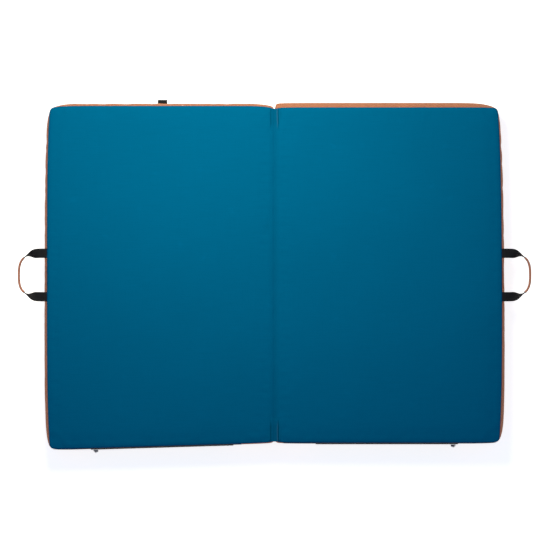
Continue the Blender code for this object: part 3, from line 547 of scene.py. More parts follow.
def finish_named(name):
    """The material of one finish, made the first time that it is asked for."""
    made = bpy.data.materials.get(name)
    if made is not None:
        return made
    colours = settings().colours
    makers = {
        "landing_cloth": lambda: landing_cloth(colours),
        "wall_cloth": lambda: wall_cloth(colours),
        "base_cloth": lambda: base_cloth(colours),
        "strap_webbing": lambda: strap_webbing(colours),
        "grip_cloth": lambda: grip_cloth(colours),
        "padding_mesh": lambda: padding_mesh(colours),
        "yoke_patch": lambda: sewn_patch("yoke_patch", YOKE_PATCH, colours),
        "lower_patch": lambda: sewn_patch("lower_patch", LOWER_PATCH, colours),
        "closure_patch": lambda: sewn_patch("closure_patch", CLOSURE_PATCH, colours),
        "zip_tape": lambda: zip_tape(colours),
        "moulded_plastic": lambda: moulded_plastic(colours),
        "zip_teeth": lambda: zip_teeth(colours),
        "zip_metal": lambda: zip_metal(colours),
        "firm_foam": lambda: foam_block("firm_foam", colours.firm_foam, 0.0012),
        "soft_foam": lambda: foam_block("soft_foam", colours.soft_foam, 0.0022),
        "studio_floor": lambda: studio_floor(settings().studio),
    }
    return makers[name]()


# Shapes

PATCH_CORNER = 0.006


def eased(share):
    """Ease from 0 to 1."""
    share = min(max(share, 0.0), 1.0)
    return share * share * (3 - 2 * share)


def signed_power(value, power):
    """The size of a number raised to a power, with the number's own sign."""
    return math.copysign(abs(value) ** power, value)


def piece_from(bm, name, finish, body=None, node=None):
    """An object from a bmesh in world places, riding on its body and standing for its node."""
    mesh = bpy.data.meshes.new(name)
    bm.to_mesh(mesh)
    bm.free()
    mesh.shade_smooth()
    mesh.materials.append(finish_named(finish))
    piece = bpy.data.objects.new(name, mesh)
    bpy.context.scene.collection.objects.link(piece)
    if body is not None:
        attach(piece, body)
    if node is not None:
        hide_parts(node)
    return piece


def add_thickness(piece, thickness, offset):
    """Give a sheet its thickness: offset -1 is inwards, 0 to both sides and 1 outwards."""
    modifier = piece.modifiers.new("thickness", "SOLIDIFY")
    modifier.thickness = thickness
    modifier.offset = offset
    modifier.use_even_offset = True


def add_rounding(piece, width, segments=2):
    """Round the sharp edges of a piece."""
    modifier = piece.modifiers.new("rounding", "BEVEL")
    modifier.width = width
    modifier.segments = segments
    modifier.limit_method = "ANGLE"
    modifier.angle_limit = math.radians(50)
    modifier.harden_normals = True


def add_subdivision(piece):
    """One level of smoothing."""
    modifier = piece.modifiers.new("smoothing", "SUBSURF")
    modifier.levels = 1
    modifier.render_levels = 1


def shaped_grid(columns, rows, place, flat, closed=False):
    """A grid whose corners go where place says, by their shares of its two sides.

    Its UV map is in metres: from 0 along flat[0], and both ways from the middle of flat[1].
    """
    bm = bmesh.new()
    layer = bm.loops.layers.uv.new("UVMap")
    bmesh.ops.create_grid(bm, x_segments=columns, y_segments=rows, size=0.5)
    shares = {vert: (vert.co.x + 0.5, vert.co.y + 0.5) for vert in bm.verts}
    for face in bm.faces:
        for loop in face.loops:
            u, v = shares[loop.vert]
            loop[layer].uv = (u * flat[0], (v - 0.5) * flat[1])
    for vert, (u, v) in shares.items():
        vert.co = place(u, v)
    if closed:
        bmesh.ops.remove_doubles(bm, verts=bm.verts, dist=SMALLEST)
    bmesh.ops.recalc_face_normals(bm, faces=bm.faces)
    return bm


def path_length(path):
    """Length of a line through points."""
    return sum((b - a).length for a, b in zip(path, path[1:]))


def strap(name, path, across, width, body=None, node=None):
    """Webbing along a path, its width lying along one direction, or one for each point."""
    webbing = settings().webbing
    last = len(path) - 1

    def place(u, v):
        i = round(u * last)
        way = across[i] if isinstance(across, list) else across
        return path[i] + way * (v - 0.5) * width

    bm = shaped_grid(last, 4, place, (path_length(path), width))
    piece = piece_from(bm, name, "strap_webbing", body, node)
    add_thickness(piece, webbing.thickness, 0.0)
    add_rounding(piece, webbing.edge)
    return piece


def half_turn(centre, start, radius, axis, steps=14):
    """Points round half a turn about a bar, start being the first one's direction."""
    points = []
    for i in range(steps + 1):
        swing = Matrix.Rotation(math.pi * i / steps, 3, axis)
        points.append(centre + swing @ (start * radius))
    return points


def spread(start, end, count):
    """Points in a straight line from start up to, and without, the end."""
    return [start.lerp(end, i / count) for i in range(count)]


def patch(name, sides, thickness, centre, finish, body, node):
    """A flat sewn patch with round corners."""
    bm = bmesh.new()
    layer = bm.loops.layers.uv.new("UVMap")
    bmesh.ops.create_cube(bm, size=1)
    bmesh.ops.scale(bm, vec=(*sides, thickness), verts=bm.verts)
    upright = [e for e in bm.edges if abs(e.verts[0].co.z - e.verts[1].co.z) > thickness / 2]
    bmesh.ops.bevel(bm, geom=upright, offset=PATCH_CORNER, affect="EDGES", segments=6, profile=0.5,
                    material=-1)
    level = [e for e in bm.edges if abs(e.verts[0].co.z - e.verts[1].co.z) < SMALLEST]
    bmesh.ops.bevel(bm, geom=level, offset=thickness / 4, affect="EDGES", segments=2, profile=0.5,
                    material=-1)
    for face in bm.faces:
        for loop in face.loops:
            loop[layer].uv = loop.vert.co.xy
    bmesh.ops.translate(bm, vec=centre, verts=bm.verts)
    piece = piece_from(bm, name, finish, body, node)
    piece.data.set_sharp_from_angle(angle=math.radians(40))
    return piece


def softened(node, finish, body, width):
    """A copy of a moulded CAD piece with its edges rounded."""
    bm = bmesh.new()
    bm.from_mesh(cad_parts[node].data)
    bmesh.ops.remove_doubles(bm, verts=bm.verts, dist=SMALLEST * 10)
    bmesh.ops.dissolve_limit(bm, angle_limit=math.radians(1), verts=bm.verts, edges=bm.edges)
    piece = piece_from(bm, node + "_moulding", finish, body, node)
    add_rounding(piece, width)
    piece.data.set_sharp_from_angle(angle=math.radians(30))
    return piece


# The two halves

# Powers of the curves along the sides and ends, over the face, up the walls and at the base's edge
SIDE_POWER = 12
END_BOW_POWER = 4
END_BULGE_POWER = 24
CROWN_POWER = 2.5
SWELL_POWER = 2.2
BASE_EDGE_POWER = 2.4
# Width of the base's round edge, and how far inside its seam a corner is sharp again
BASE_EDGE = 0.012
CORNER_FADE = 0.1
# Share of a wall's height, from its foot, over which the base's spread dies away
SPREAD_SHARE = 0.25
# How firmly the landing cover is held beside its seam and in its middle
EDGE_HOLD = 0.15
MIDDLE_HOLD = 0.90
# How far inside its two seams the front wall's bulge starts, once the wall is smoothed
DRAWN_IN_LOW = 0.0015
DRAWN_IN_HIGH = 0.0020


def place_on_half(half, u, v, swell):
    """World x and y of a spot u out from the hinge seam and v along it.

    The sides bow, the used front corner of the left half has spread, and swell adds the
    wall's bulge, from none at a seam to all of it at mid height.
    """
    cushion = settings().cushion
    out_share = u / cushion.length
    along_share = v / cushion.half_width
    bow = half["back_bow"] if v > 0 else cushion.front_bow
    bulge = half["back_bulge"] if v > 0 else cushion.front_bulge
    side_bow = bow * (1 - abs(2 * out_share - 1) ** SIDE_POWER)
    side_bulge = bulge * swell * (1 - max(2 * out_share - 1, 0) ** SIDE_POWER)
    end_bow = cushion.end_bow * (1 - abs(along_share) ** END_BOW_POWER)
    end_bulge = cushion.end_bulge * swell * (1 - abs(along_share) ** END_BULGE_POWER)
    end_bulge *= 1 - half["end_spread"] * along_share
    taper = half["back_taper"] * max(along_share, 0)
    push_out = (end_bow + end_bulge - taper) * out_share
    push_in = cushion.hinge_bulge * swell * (1 - out_share)
    push_side = (side_bow + side_bulge) * along_share
    flare = half["front_flare"] * out_share * max(-along_share, 0)
    return half["side"] * (cushion.hinge_gap + u + push_out - push_in), v + push_side - flare


def crown_height(inset):
    """Height of the landing face at a distance inside its seam."""
    cushion = settings().cushion
    share = min(inset / cushion.crown_run, 1)
    return cushion.seam_high + cushion.crown * (1 - (1 - share) ** CROWN_POWER)


def base_height(inset):
    """Height of the base at a distance inside its seam: a round edge, a level rim, the dish."""
    cushion = settings().cushion
    round_off = max(1 - inset / BASE_EDGE, 0)
    dish = cushion.dish * eased((inset - cushion.rim) / cushion.dish_run)
    return cushion.seam_low * round_off ** BASE_EDGE_POWER + dish


def wall_swell(share):
    """How far a wall bulges at a share of its height."""
    return 1 - abs(2 * share - 1) ** SWELL_POWER


def round_corner(u, v, inset):
    """Draw a spot of a rectangular ring in onto the ring's round corner."""
    cushion = settings().cushion
    radius = cushion.hinge_corner if u < 0 else cushion.corner
    radius *= 1 - eased(inset / CORNER_FADE)
    corner_u = cushion.length / 2 - inset - radius
    corner_v = cushion.half_width - inset - radius
    past = Vector((abs(u) - corner_u, abs(v) - corner_v))
    if min(past) <= 0 or radius <= 0:
        return u, v
    past = past.normalized() * radius
    return math.copysign(corner_u + past.x, u), math.copysign(corner_v + past.y, v)


def spot_on_shell(half, box_place, fullness):
    """Where a spot of a unit box goes on a half's shell, for how full the shell is."""
    cushion = settings().cushion
    u = box_place.x * cushion.length
    v = box_place.y * 2 * cushion.half_width
    inset = max(min(cushion.length / 2 - abs(u), cushion.half_width - abs(v)), 0)
    swell = 0
    if abs(box_place.z) > 0.5 - SMALLEST:
        if box_place.z > 0:
            z = cushion.seam_high + (crown_height(inset) - cushion.seam_high) * fullness
        else:
            z = base_height(inset)
    else:
        share = box_place.z + 0.5
        z = cushion.seam_low + (cushion.seam_high - cushion.seam_low) * share
        swell = wall_swell(share) * fullness
    u, v = round_corner(u, v, inset)
    widened = cushion.base_spread * (1 - eased((box_place.z + 0.5) / SPREAD_SHARE))
    u += widened * (box_place.x + 0.5)
    v *= 1 + widened / cushion.half_width
    x, y = place_on_half(half, u + cushion.length / 2, v, swell)
    return Vector((x, y, z))


def shell_blank():
    """A unit box cut into even cells, its faces marked as landing face, wall and base."""
    cushion = settings().cushion
    sides = (cushion.length, 2 * cushion.half_width, cushion.seam_high - cushion.seam_low)
    bm = bmesh.new()
    layer = bm.loops.layers.uv.new("UVMap")
    bmesh.ops.create_cube(bm, size=1)
    for axis, side in enumerate(sides):
        parallel = [
            e for e in bm.edges
            if abs(e.verts[0].co[axis] - e.verts[1].co[axis]) > 0.5
        ]
        cuts = round(side / cushion.cell) - 1
        bmesh.ops.subdivide_edges(bm, edges=parallel, cuts=cuts, use_grid_fill=True)
    for face in bm.faces:
        middle = face.calc_center_median()
        across = 0 if abs(middle.y) > 0.5 - SMALLEST else 1
        if abs(middle.z) > 0.5 - SMALLEST:
            face.material_index = FACE if middle.z > 0 else BASE
        else:
            face.material_index = WALL
        for loop in face.loops:
            along = loop.vert.co[across] * sides[across]
            up = (loop.vert.co.z + 0.5) * sides[2] + cushion.seam_low
            loop[layer].uv = (along, up)
    return bm


def hold_weight(half, box_place):
    """How firmly the fabric is held at a spot: by its seams, its foam and what is sewn to it."""
    cushion = settings().cushion
    zips = settings().zip
    on_face = box_place.z > 0.5 - SMALLEST
    on_base = box_place.z < SMALLEST - 0.5
    u = box_place.x * cushion.length
    v = box_place.y * 2 * cushion.half_width
    inset = min(cushion.length / 2 - abs(u), cushion.half_width - abs(v))
    if on_face:
        hold = EDGE_HOLD + (MIDDLE_HOLD - EDGE_HOLD) * eased(inset / cushion.crown_run)
        return 1.0 if inset < SMALLEST else hold
    if on_base:
        return 1.0
    on_front = cushion.half_width + v < SMALLEST
    below_tape = cushion.cell + zips.tape_width / 2
    level = box_place.z * (cushion.seam_high - cushion.seam_low)
    return 1.0 if on_front and level > -below_tape else 0.0


def filled_shell(half):
    """One half's outer skin: cut a little loose, then pushed out by its filling."""
    filling = settings().filling
    bm = shell_blank()
    spots = [vert.co.copy() for vert in bm.verts]
    full = [spot_on_shell(half, spot, 1.0) for spot in spots]
    for vert, place in zip(bm.verts, full):
        vert.co = place
    if half["side"] < 0:
        bmesh.ops.reverse_faces(bm, faces=bm.faces)
    bm.normal_update()
    outward = [vert.normal.copy() for vert in bm.verts]
    mesh = bpy.data.meshes.new(half["name"] + "_shell")
    bm.to_mesh(mesh)
    bm.free()
    shell = bpy.data.objects.new(mesh.name, mesh)
    bpy.context.scene.collection.objects.link(shell)
    held = shell.vertex_groups.new(name="held")
    for i, spot in enumerate(spots):
        weight = hold_weight(half, spot)
        fullness = filling.start_share + (1 - filling.start_share) * weight
        mesh.vertices[i].co = spot_on_shell(half, spot, fullness)
        held.add([i], weight, "REPLACE")
    settle_cloth(shell)
    result = shell.evaluated_get(bpy.context.evaluated_depsgraph_get()).data
    for i, vert in enumerate(mesh.vertices):
        moved = result.vertices[i].co - full[i]
        rise = moved.dot(outward[i])
        slide = moved - outward[i] * rise
        rise = min(max(rise, -filling.give_in), filling.give_out)
        slide *= min(1.0, filling.give_out / max(slide.length, SMALLEST))
        place = full[i] + outward[i] * rise + slide
        place.z = min(max(place.z, 0.0), crown_height(1.0))
        vert.co = place
    bpy.context.scene.frame_set(1)
    bpy.data.objects.remove(shell)
    return mesh


def settle_cloth(shell):
    """Run Blender's cloth on a shell whose vertex group says where it is held."""
    filling = settings().filling
    cloth = shell.modifiers.new("filling", "CLOTH")
    cloth.collision_settings.use_collision = False
    fabric = cloth.settings
    fabric.quality = 5
    fabric.mass = 0.4
    fabric.tension_stiffness = 60
    fabric.compression_stiffness = 25
    fabric.shear_stiffness = 20
    fabric.bending_stiffness = 2
    fabric.use_pressure = True
    fabric.uniform_pressure_force = filling.pressure
    fabric.vertex_group_mass = "held"
    fabric.shrink_min = -filling.looseness
    fabric.effector_weights.gravity = 0
    cloth.point_cache.frame_end = filling.steps
    for step in range(1, filling.steps + 1):
        bpy.context.scene.frame_set(step)


def panel_of(shell, part):
    """The faces of one panel, cut out of a half's skin."""
    bm = bmesh.new()
    bm.from_mesh(shell)
    other = [face for face in bm.faces if face.material_index != part]
    bmesh.ops.delete(bm, geom=other, context="FACES")
    for face in bm.faces:
        face.material_index = 0
    return bm


def cover_half(half):
    """The landing cover, side walls and base of one half."""
    cushion = settings().cushion
    name = half["name"]
    shell = filled_shell(half)
    panels = (
        (FACE, "_landing_cover", "landing_cloth", "blue_fabric", "_top_cover"),
        (WALL, "_side_walls", "wall_cloth", "orange_fabric", "_gusset"),
        (BASE, "_underside", "base_cloth", "black_fabric", "_base_cover"),
    )
    for part, label, finish, slot, node in panels:
        bm = panel_of(shell, part)
        piece = piece_from(bm, name + label, finish, name + "_half", name + node)
        add_subdivision(piece)
        add_thickness(piece, cushion.fabric, -1.0)
    bpy.data.meshes.remove(shell)


def front_wall(half, along, z, stand_off):
    """A spot on the front wall's outer face, or some way off it."""
    cushion = settings().cushion
    low = cushion.seam_low + DRAWN_IN_LOW
    high = cushion.seam_high - DRAWN_IN_HIGH
    share = (z - low) / (high - low)
    u = cushion.length / 2 + along
    x, y = place_on_half(half, u, -cushion.half_width, wall_swell(share))
    return Vector((x, y - stand_off, z))


def mid_height():
    """Half-way between the two seams."""
    cushion = settings().cushion
    return (cushion.seam_high + cushion.seam_low) / 2


# The hinge

CREASE_DIP = 0.0011
CREASE_LAP = 0.012
CREASE_LIFT = 0.0004
TAB_WIDTH = 0.020
TAB_LENGTH = 0.060
TAB_THICKNESS = 0.0010
TAB_SIDE_POWER = 8
TAB_END_POWER = 40
# Height of each ripple along the crease, and how many radians of it the crease's length holds
RIPPLES = ((0.0003, 61), (0.0002, 143))


def bends_at_fold(piece):
    """Bake the placement of a piece that crosses the hinge line into its mesh."""
    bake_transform(piece)


def height_by_hinge(across, from_end):
    """Height of the landing face beside the hinge line, and of the dip between the halves."""
    cushion = settings().cushion
    past = max(abs(across) - cushion.hinge_gap, 0)
    share = min(abs(across) / cushion.hinge_gap, 1)
    dip = CREASE_DIP * (1 - share * share)
    return crown_height(min(past, from_end)) - dip


def hinge_crease():
    """The landing fabric where it dips between the halves, sinking into both of them."""
    cushion = settings().cushion
    reach = cushion.hinge_gap + CREASE_LAP
    half_length = cushion.half_width - cushion.hinge_corner / 2

    def place(u, v):
        across = reach * (2 * v - 1)
        y = half_length * (2 * u - 1)
        past = max(abs(across) - cushion.hinge_gap, 0)
        sink = (CREASE_LIFT + cushion.fabric) * eased(past / CREASE_LAP)
        ripple = sum(height * math.sin(u * turn) for height, turn in RIPPLES)
        level = height_by_hinge(across, cushion.half_width - abs(y))
        return Vector((across, y, level + CREASE_LIFT - sink + ripple * (past < SMALLEST)))

    bm = shaped_grid(180, 32, place, (2 * half_length, 2 * reach))
    bmesh.ops.solidify(bm, geom=bm.faces[:], thickness=cushion.fabric)
    piece = piece_from(bm, "hinge_crease", "landing_cloth", node="hinge_panel")
    bends_at_fold(piece)


def hinge_tab(end, name):
    """A short doubled strip sewn over one end of the crease, pulled into a shallow trough."""
    cushion = settings().cushion

    def place(u, v):
        share = 2 * v - 1
        from_end = cushion.hinge_corner / 2 + TAB_LENGTH * u
        level = height_by_hinge(TAB_WIDTH / 2 * share, from_end)
        rolled = abs(share) ** TAB_SIDE_POWER + abs(2 * u - 1) ** TAB_END_POWER
        rolled *= TAB_THICKNESS / 2
        z = level + CREASE_LIFT + TAB_THICKNESS - rolled
        return Vector((TAB_WIDTH / 2 * share, end * (cushion.half_width - from_end), z))

    bm = shaped_grid(60, 30, place, (TAB_LENGTH, TAB_WIDTH))
    bmesh.ops.solidify(bm, geom=bm.faces[:], thickness=TAB_THICKNESS)
    piece = piece_from(bm, name, "landing_cloth")
    bends_at_fold(piece)


# The handles

# A handle's loop stands out from its root by its reach, and spans twice its half span
LOOP_REACH = 0.069
LOOP_HALF_SPAN = 0.058
LOOP_ROOT = 0.0091
LOOP_DROOP = math.radians(14)
TWIST_START = 0.012
TWIST_RUN = 0.040
# The webbing's middle lies just below the upper seam, and is sewn in from inside it
BELOW_SEAM = 0.0008
ROOT_INSIDE = 0.0015
ROOT_OUTSIDE = 0.0092
GRIP_CLEARANCE = 0.0003
GRIP_EDGE_POWER = 0.35
GRIP_FACE_POWER = 0.6
GRIP_WRINKLE = 0.10
GRIP_WRINKLE_TURN = 37
HANG_LOW = 0.0020
HANG_HIGH = 0.0085
HANG_REACH = 0.021


def handle_stations(half, lowest, highest, steps):
    """Middle line and width directions of a handle's loop between two shares of its length."""
    cushion = settings().cushion
    root_x, _ = place_on_half(half, cushion.length, 0, 0)
    start = Vector((root_x + half["side"] * LOOP_ROOT, 0, cushion.seam_high - BELOW_SEAM))
    droop = Matrix.Rotation(half["side"] * LOOP_DROOP, 3, Y_AXIS)
    places, across = [], []
    for i in range(steps + 1):
        angle = math.pi / 2 * (lowest + (highest - lowest) * i / steps)
        level = max(math.cos(angle), 0)
        out = LOOP_REACH * level ** (2 / 3)
        along = LOOP_HALF_SPAN * signed_power(math.sin(angle), 2 / 3)
        normal = Vector((
            half["side"] * level ** (4 / 3) / LOOP_REACH,
            signed_power(math.sin(angle), 4 / 3) / LOOP_HALF_SPAN,
            0,
        )).normalized()
        twist = math.pi / 2 * eased((out - TWIST_START) / TWIST_RUN)
        places.append(start + droop @ Vector((half["side"] * out, along, 0)))
        width_way = (droop @ normal) * math.cos(twist) + Z_AXIS * math.sin(twist)
        across.append(width_way.normalized())
    return places, across


def handle_webbing(half):
    """The loop of webbing that twists upright towards the grip, and its two sewn ends."""
    cushion = settings().cushion
    width = settings().webbing.width
    name = half["name"] + "_handle"
    places, across = handle_stations(half, -1, 1, 96)
    strap(name + "_strap", places, across, width, name, name + "_webbing")
    seam_x, _ = place_on_half(half, cushion.length, 0, 0)
    z = cushion.seam_high - BELOW_SEAM
    for end, label in ((BACK, "_back"), (FRONT, "_front")):
        y = places[-1].y if end == BACK else places[0].y
        root = Vector((seam_x - half["side"] * ROOT_INSIDE, y, z))
        bend = Vector((seam_x + half["side"] * ROOT_OUTSIDE, y, z))
        strap(name + label + "_root", spread(root, bend, 6) + [bend], Y_AXIS, width,
              half["name"] + "_half", name + label + "_anchor")


def handle_grip(half):
    """The cloth sleeve round the middle of a handle."""
    webbing = settings().webbing
    share = math.asin((webbing.grip_half_length / LOOP_HALF_SPAN) ** 1.5) / (math.pi / 2)
    steps = 60
    places, across = handle_stations(half, -share, share, steps)
    flat = webbing.thickness / 2 + GRIP_CLEARANCE
    wide = webbing.grip_width / 2 - webbing.grip_wall

    def place(u, v):
        i = round(u * steps)
        ahead = places[min(i + 1, steps)] - places[max(i - 1, 0)]
        normal = ahead.cross(across[i]).normalized()
        angle = 2 * math.pi * v
        side = signed_power(math.cos(angle), GRIP_EDGE_POWER)
        lift = signed_power(math.sin(angle), GRIP_FACE_POWER)
        soft = 1 + GRIP_WRINKLE * math.sin(u * GRIP_WRINKLE_TURN) * abs(lift)
        return places[i] + across[i] * side * wide + normal * lift * flat * soft

    around = 4 * wide
    bm = shaped_grid(steps, 28, place, (path_length(places), around), closed=True)
    if bm.calc_volume(signed=True) < 0:
        bmesh.ops.reverse_faces(bm, faces=bm.faces)
    name = half["name"] + "_handle"
    piece = piece_from(bm, name + "_sleeve", "grip_cloth", name, name + "_grip")
    add_thickness(piece, webbing.grip_wall, 1.0)


def hang_loop():
    """A folded loop of webbing at the back edge of the left half."""
    cushion = settings().cushion
    x, seam_y = place_on_half(LEFT, cushion.length / 2, cushion.half_width, 0)
    webbing = settings().webbing
    radius = (HANG_HIGH - HANG_LOW) / 2
    turn_y = seam_y + HANG_REACH - radius - webbing.thickness / 2
    centre = Vector((x, turn_y, (HANG_HIGH + HANG_LOW) / 2))
    upper = Vector((x, seam_y, HANG_HIGH))
    lower = Vector((x, seam_y, HANG_LOW))
    path = spread(upper, centre + Z_AXIS * radius, 4)
    path += half_turn(centre, Z_AXIS, radius, -X_AXIS)
    path += spread(centre - Z_AXIS * radius, lower, 4)[1:] + [lower]
    strap("hang_loop_webbing", path, X_AXIS, webbing.width, "left_half",
          "hang_loop")


# The zips

STRIP_STAND_OFF = 0.0003
# How far below the upper seam the binding's two edges lie
SHADE_BINDING_LOW = 0.0140
SHADE_BINDING_HIGH = 0.0015
TOOTH_STAND_OFF = 0.0022
TOOTH_ASIDE = 0.0012
TOOTH_WIDTH = 0.0013
TOOTH_HEIGHT = 0.0015
TOOTH_EDGE = 0.0004


def wall_strip(half, name, span, levels, finish, thickness, node=None):
    """A strip sewn flat to the front wall, between two places along it and two heights."""
    def place(u, v):
        along = span[0] + (span[1] - span[0]) * u
        z = levels[0] + (levels[1] - levels[0]) * v
        return front_wall(half, along, z, STRIP_STAND_OFF)

    bm = shaped_grid(96, 8, place, (span[1] - span[0], levels[1] - levels[0]))
    if sum(face.normal.y for face in bm.faces) > 0:
        bmesh.ops.reverse_faces(bm, faces=bm.faces)
    piece = piece_from(bm, name, finish, half["name"] + "_half", node)
    add_thickness(piece, thickness, 1.0)
    return piece


def front_binding_as_shade(half):
    """The black binding sewn along the top of the front wall, above the zip; it also serves as
    painted shade, darkening the front edge.
    """
    cushion = settings().cushion
    reach = cushion.length / 2
    # Painted shade: the black strip covers most of the front wall's top to darken the front edge,
    # which lies in shade.
    span = (half["shade_binding_start"] - reach, reach - cushion.corner)
    levels = (cushion.seam_high - SHADE_BINDING_LOW, cushion.seam_high - SHADE_BINDING_HIGH)
    wall_strip(half, half["name"] + "_front_binding_as_shade", span, levels, "strap_webbing",
               cushion.fabric)


def zip_parts(half):
    """Tape and teeth along the front wall, with the slider and its pull."""
    zips = settings().zip
    name = half["name"] + "_zip"
    body = half["name"] + "_half"
    middle = mid_height()
    span = (-zips.half_length, zips.half_length)
    levels = (middle - zips.tape_width / 2, middle + zips.tape_width / 2)
    wall_strip(half, name + "_cloth_tape", span, levels, "zip_tape", zips.tape,
               name + "_tape")

    bm = bmesh.new()
    tooth = Matrix.Diagonal((TOOTH_WIDTH, TOOTH_HEIGHT, zips.tooth_length, 1))
    teeth = 2 * round(2 * zips.half_length / zips.tooth_pitch)
    for i in range(teeth):
        along = zips.half_length * (2 * (i + 0.5) / teeth - 1)
        side = 1 if i % 2 else -1
        spot = front_wall(half, along, middle + side * TOOTH_ASIDE, TOOTH_STAND_OFF)
        bmesh.ops.create_cube(bm, size=1, matrix=Matrix.Translation(spot) @ tooth)
    bmesh.ops.bevel(bm, geom=bm.edges, offset=TOOTH_EDGE, affect="EDGES", segments=1, profile=0.5,
                    material=-1)
    piece_from(bm, name + "_teeth", "zip_teeth", body, name + "_chain")
    for part in ("_slider", "_pull"):
        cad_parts[name + part].material_slots[0].material = finish_named("zip_metal")


# The shoulder harness

HALF_CENTRE = 0.30175
# Height of the dished base, and of the middle of webbing that is sewn on under a patch
UNDER_BASE = 0.0137
UNDER_PATCH = UNDER_BASE - 0.0027
YOKE_Y = 0.262
YOKE_THICKNESS = 0.0020
PATCH_THICKNESS = 0.0016
PAD_TOP_Y = 0.285
PAD_END_Y = -0.115
PAD_TOP_ASIDE = 0.048
PAD_END_ASIDE = 0.120
PAD_WIDTH = 0.062
PAD_END_WIDTH = 0.030
PAD_THICKNESS = 0.008
PAD_END_THICKNESS = 0.003
PAD_BELOW_BASE = 0.0023
PAD_EDGE_POWER = 0.55
PAD_FACE_POWER = 0.8
CHANNELS = 6
CHANNEL_DEPTH = 0.35
CHANNEL_POWER = 24
LOCK_Z = 0.0075
LOCK_FIRST_BAR = 0.0039
LOCK_BAR_STEP = 0.0078
LOCK_BAR = 0.003
LOCK_EDGE = 0.0006
BAR_CLEARANCE = 0.0003
TAB_OVERLAP = 0.015
TAIL_LENGTH = 0.060
LOWER_ANCHOR_Y = -0.285


def shoulder_pad(side, name):
    """A padded strap that curves outwards, sewn across in channels and bound along its edges."""
    around = 28
    along_steps = 100

    def place(u, v):
        y = PAD_TOP_Y + (PAD_END_Y - PAD_TOP_Y) * u
        aside = PAD_TOP_ASIDE + (PAD_END_ASIDE - PAD_TOP_ASIDE) * eased(u)
        fullness = eased(4 * u) * eased(4 * (1 - u))
        width = PAD_END_WIDTH + (PAD_WIDTH - PAD_END_WIDTH) * fullness
        thickness = PAD_END_THICKNESS + (PAD_THICKNESS - PAD_END_THICKNESS) * fullness
        stitched = max(0, math.cos(2 * math.pi * u * CHANNELS)) ** CHANNEL_POWER
        channel = 1 - CHANNEL_DEPTH * fullness * stitched
        settle = eased(4 * (u - 0.75))
        under_base = UNDER_BASE - PAD_BELOW_BASE - thickness / 2
        z = under_base * (1 - settle) + LOCK_Z * settle
        angle = 2 * math.pi * v
        across = signed_power(math.cos(angle), PAD_EDGE_POWER)
        up = signed_power(math.sin(angle), PAD_FACE_POWER)
        x = -HALF_CENTRE + side * aside + across * width / 2
        return Vector((x, y, z + up * thickness * channel / 2))

    flat = (PAD_TOP_Y - PAD_END_Y, 2 * PAD_WIDTH)
    bm = shaped_grid(along_steps, around, place, flat, closed=True)
    ends = [edge for edge in bm.edges if edge.is_boundary]
    bmesh.ops.holes_fill(bm, edges=ends, sides=0)
    bmesh.ops.recalc_face_normals(bm, faces=bm.faces)
    piece = piece_from(bm, name + "_shoulder_padding", "padding_mesh",
                       name + "_strap", name + "_shoulder_pad")


def lock_bar(x, index):
    """Middle of one of a ladder lock's four bars, counted from its pad end."""
    return Vector((x, PAD_END_Y - LOCK_FIRST_BAR - index * LOCK_BAR_STEP, LOCK_Z))


def bar_radius(bar_length, bar_thickness):
    """Radius of webbing's middle where it goes round a square bar."""
    half_diagonal = math.hypot(bar_length, bar_thickness) / 2
    return half_diagonal + BAR_CLEARANCE + settings().webbing.thickness / 2


def harness_strap(side, name):
    """One shoulder strap: padding, tab, ladder lock, and the webbing that adjusts it."""
    width = settings().webbing.width
    x = -HALF_CENTRE + side * PAD_END_ASIDE
    body = name + "_strap"
    shoulder_pad(side, name)
    softened(name + "_ladder_lock", "moulded_plastic", body, LOCK_EDGE)

    bar = lock_bar(x, 0)
    radius = bar_radius(LOCK_BAR, LOCK_BAR)
    upper = Vector((x, PAD_END_Y + TAB_OVERLAP, LOCK_Z + radius))
    lower = Vector((x, PAD_END_Y + TAB_OVERLAP, LOCK_Z - radius))
    path = spread(upper, bar + Z_AXIS * radius, 8) + half_turn(bar, Z_AXIS, radius, X_AXIS)
    path += spread(bar - Z_AXIS * radius, lower, 8)[1:] + [lower]
    strap(name + "_tab_webbing", path, X_AXIS, width, body, name + "_strap_tab")

    bar = lock_bar(x, 2)
    anchor = Vector((x, LOWER_ANCHOR_Y, UNDER_PATCH))
    turn = half_turn(bar, Z_AXIS, radius, -X_AXIS)
    tail_end = Vector((x, bar.y - TAIL_LENGTH, LOCK_Z - radius))
    path = spread(anchor, turn[0], 40) + turn
    webbing = strap(name + "_adjusting_webbing", path, X_AXIS, width,
                    node=name + "_lower_webbing")
    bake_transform(webbing)
    path = spread(turn[-1], tail_end, 16) + [tail_end]
    strap(name + "_webbing_tail", path, X_AXIS, width, body)
    patch_middle = Vector((x, LOWER_ANCHOR_Y, UNDER_BASE - PATCH_THICKNESS / 2))
    patch(name + "_lower_patch", LOWER_PATCH, PATCH_THICKNESS, patch_middle, "lower_patch",
          "left_half", name + "_lower_anchor")


# The closures

CLOSURE_FROM_END = 0.110
CLOSURE_Y = 0.335
CLOSURE_LENGTH = 0.270
SOCKET_LENGTH = 0.060
BUCKLE_Z = 0.0090
BUCKLE_BAR = (0.0034, 0.0040)
BUCKLE_EDGE = 0.0005
FOLD_BACK = 0.030


def closure_pivot(half, row):
    """Where a closure strap bends, under the inner edge of its sewn patch."""
    cushion = settings().cushion
    x = half["side"] * (cushion.hinge_gap + cushion.length - CLOSURE_FROM_END)
    return Vector((x, row * CLOSURE_Y, UNDER_PATCH))


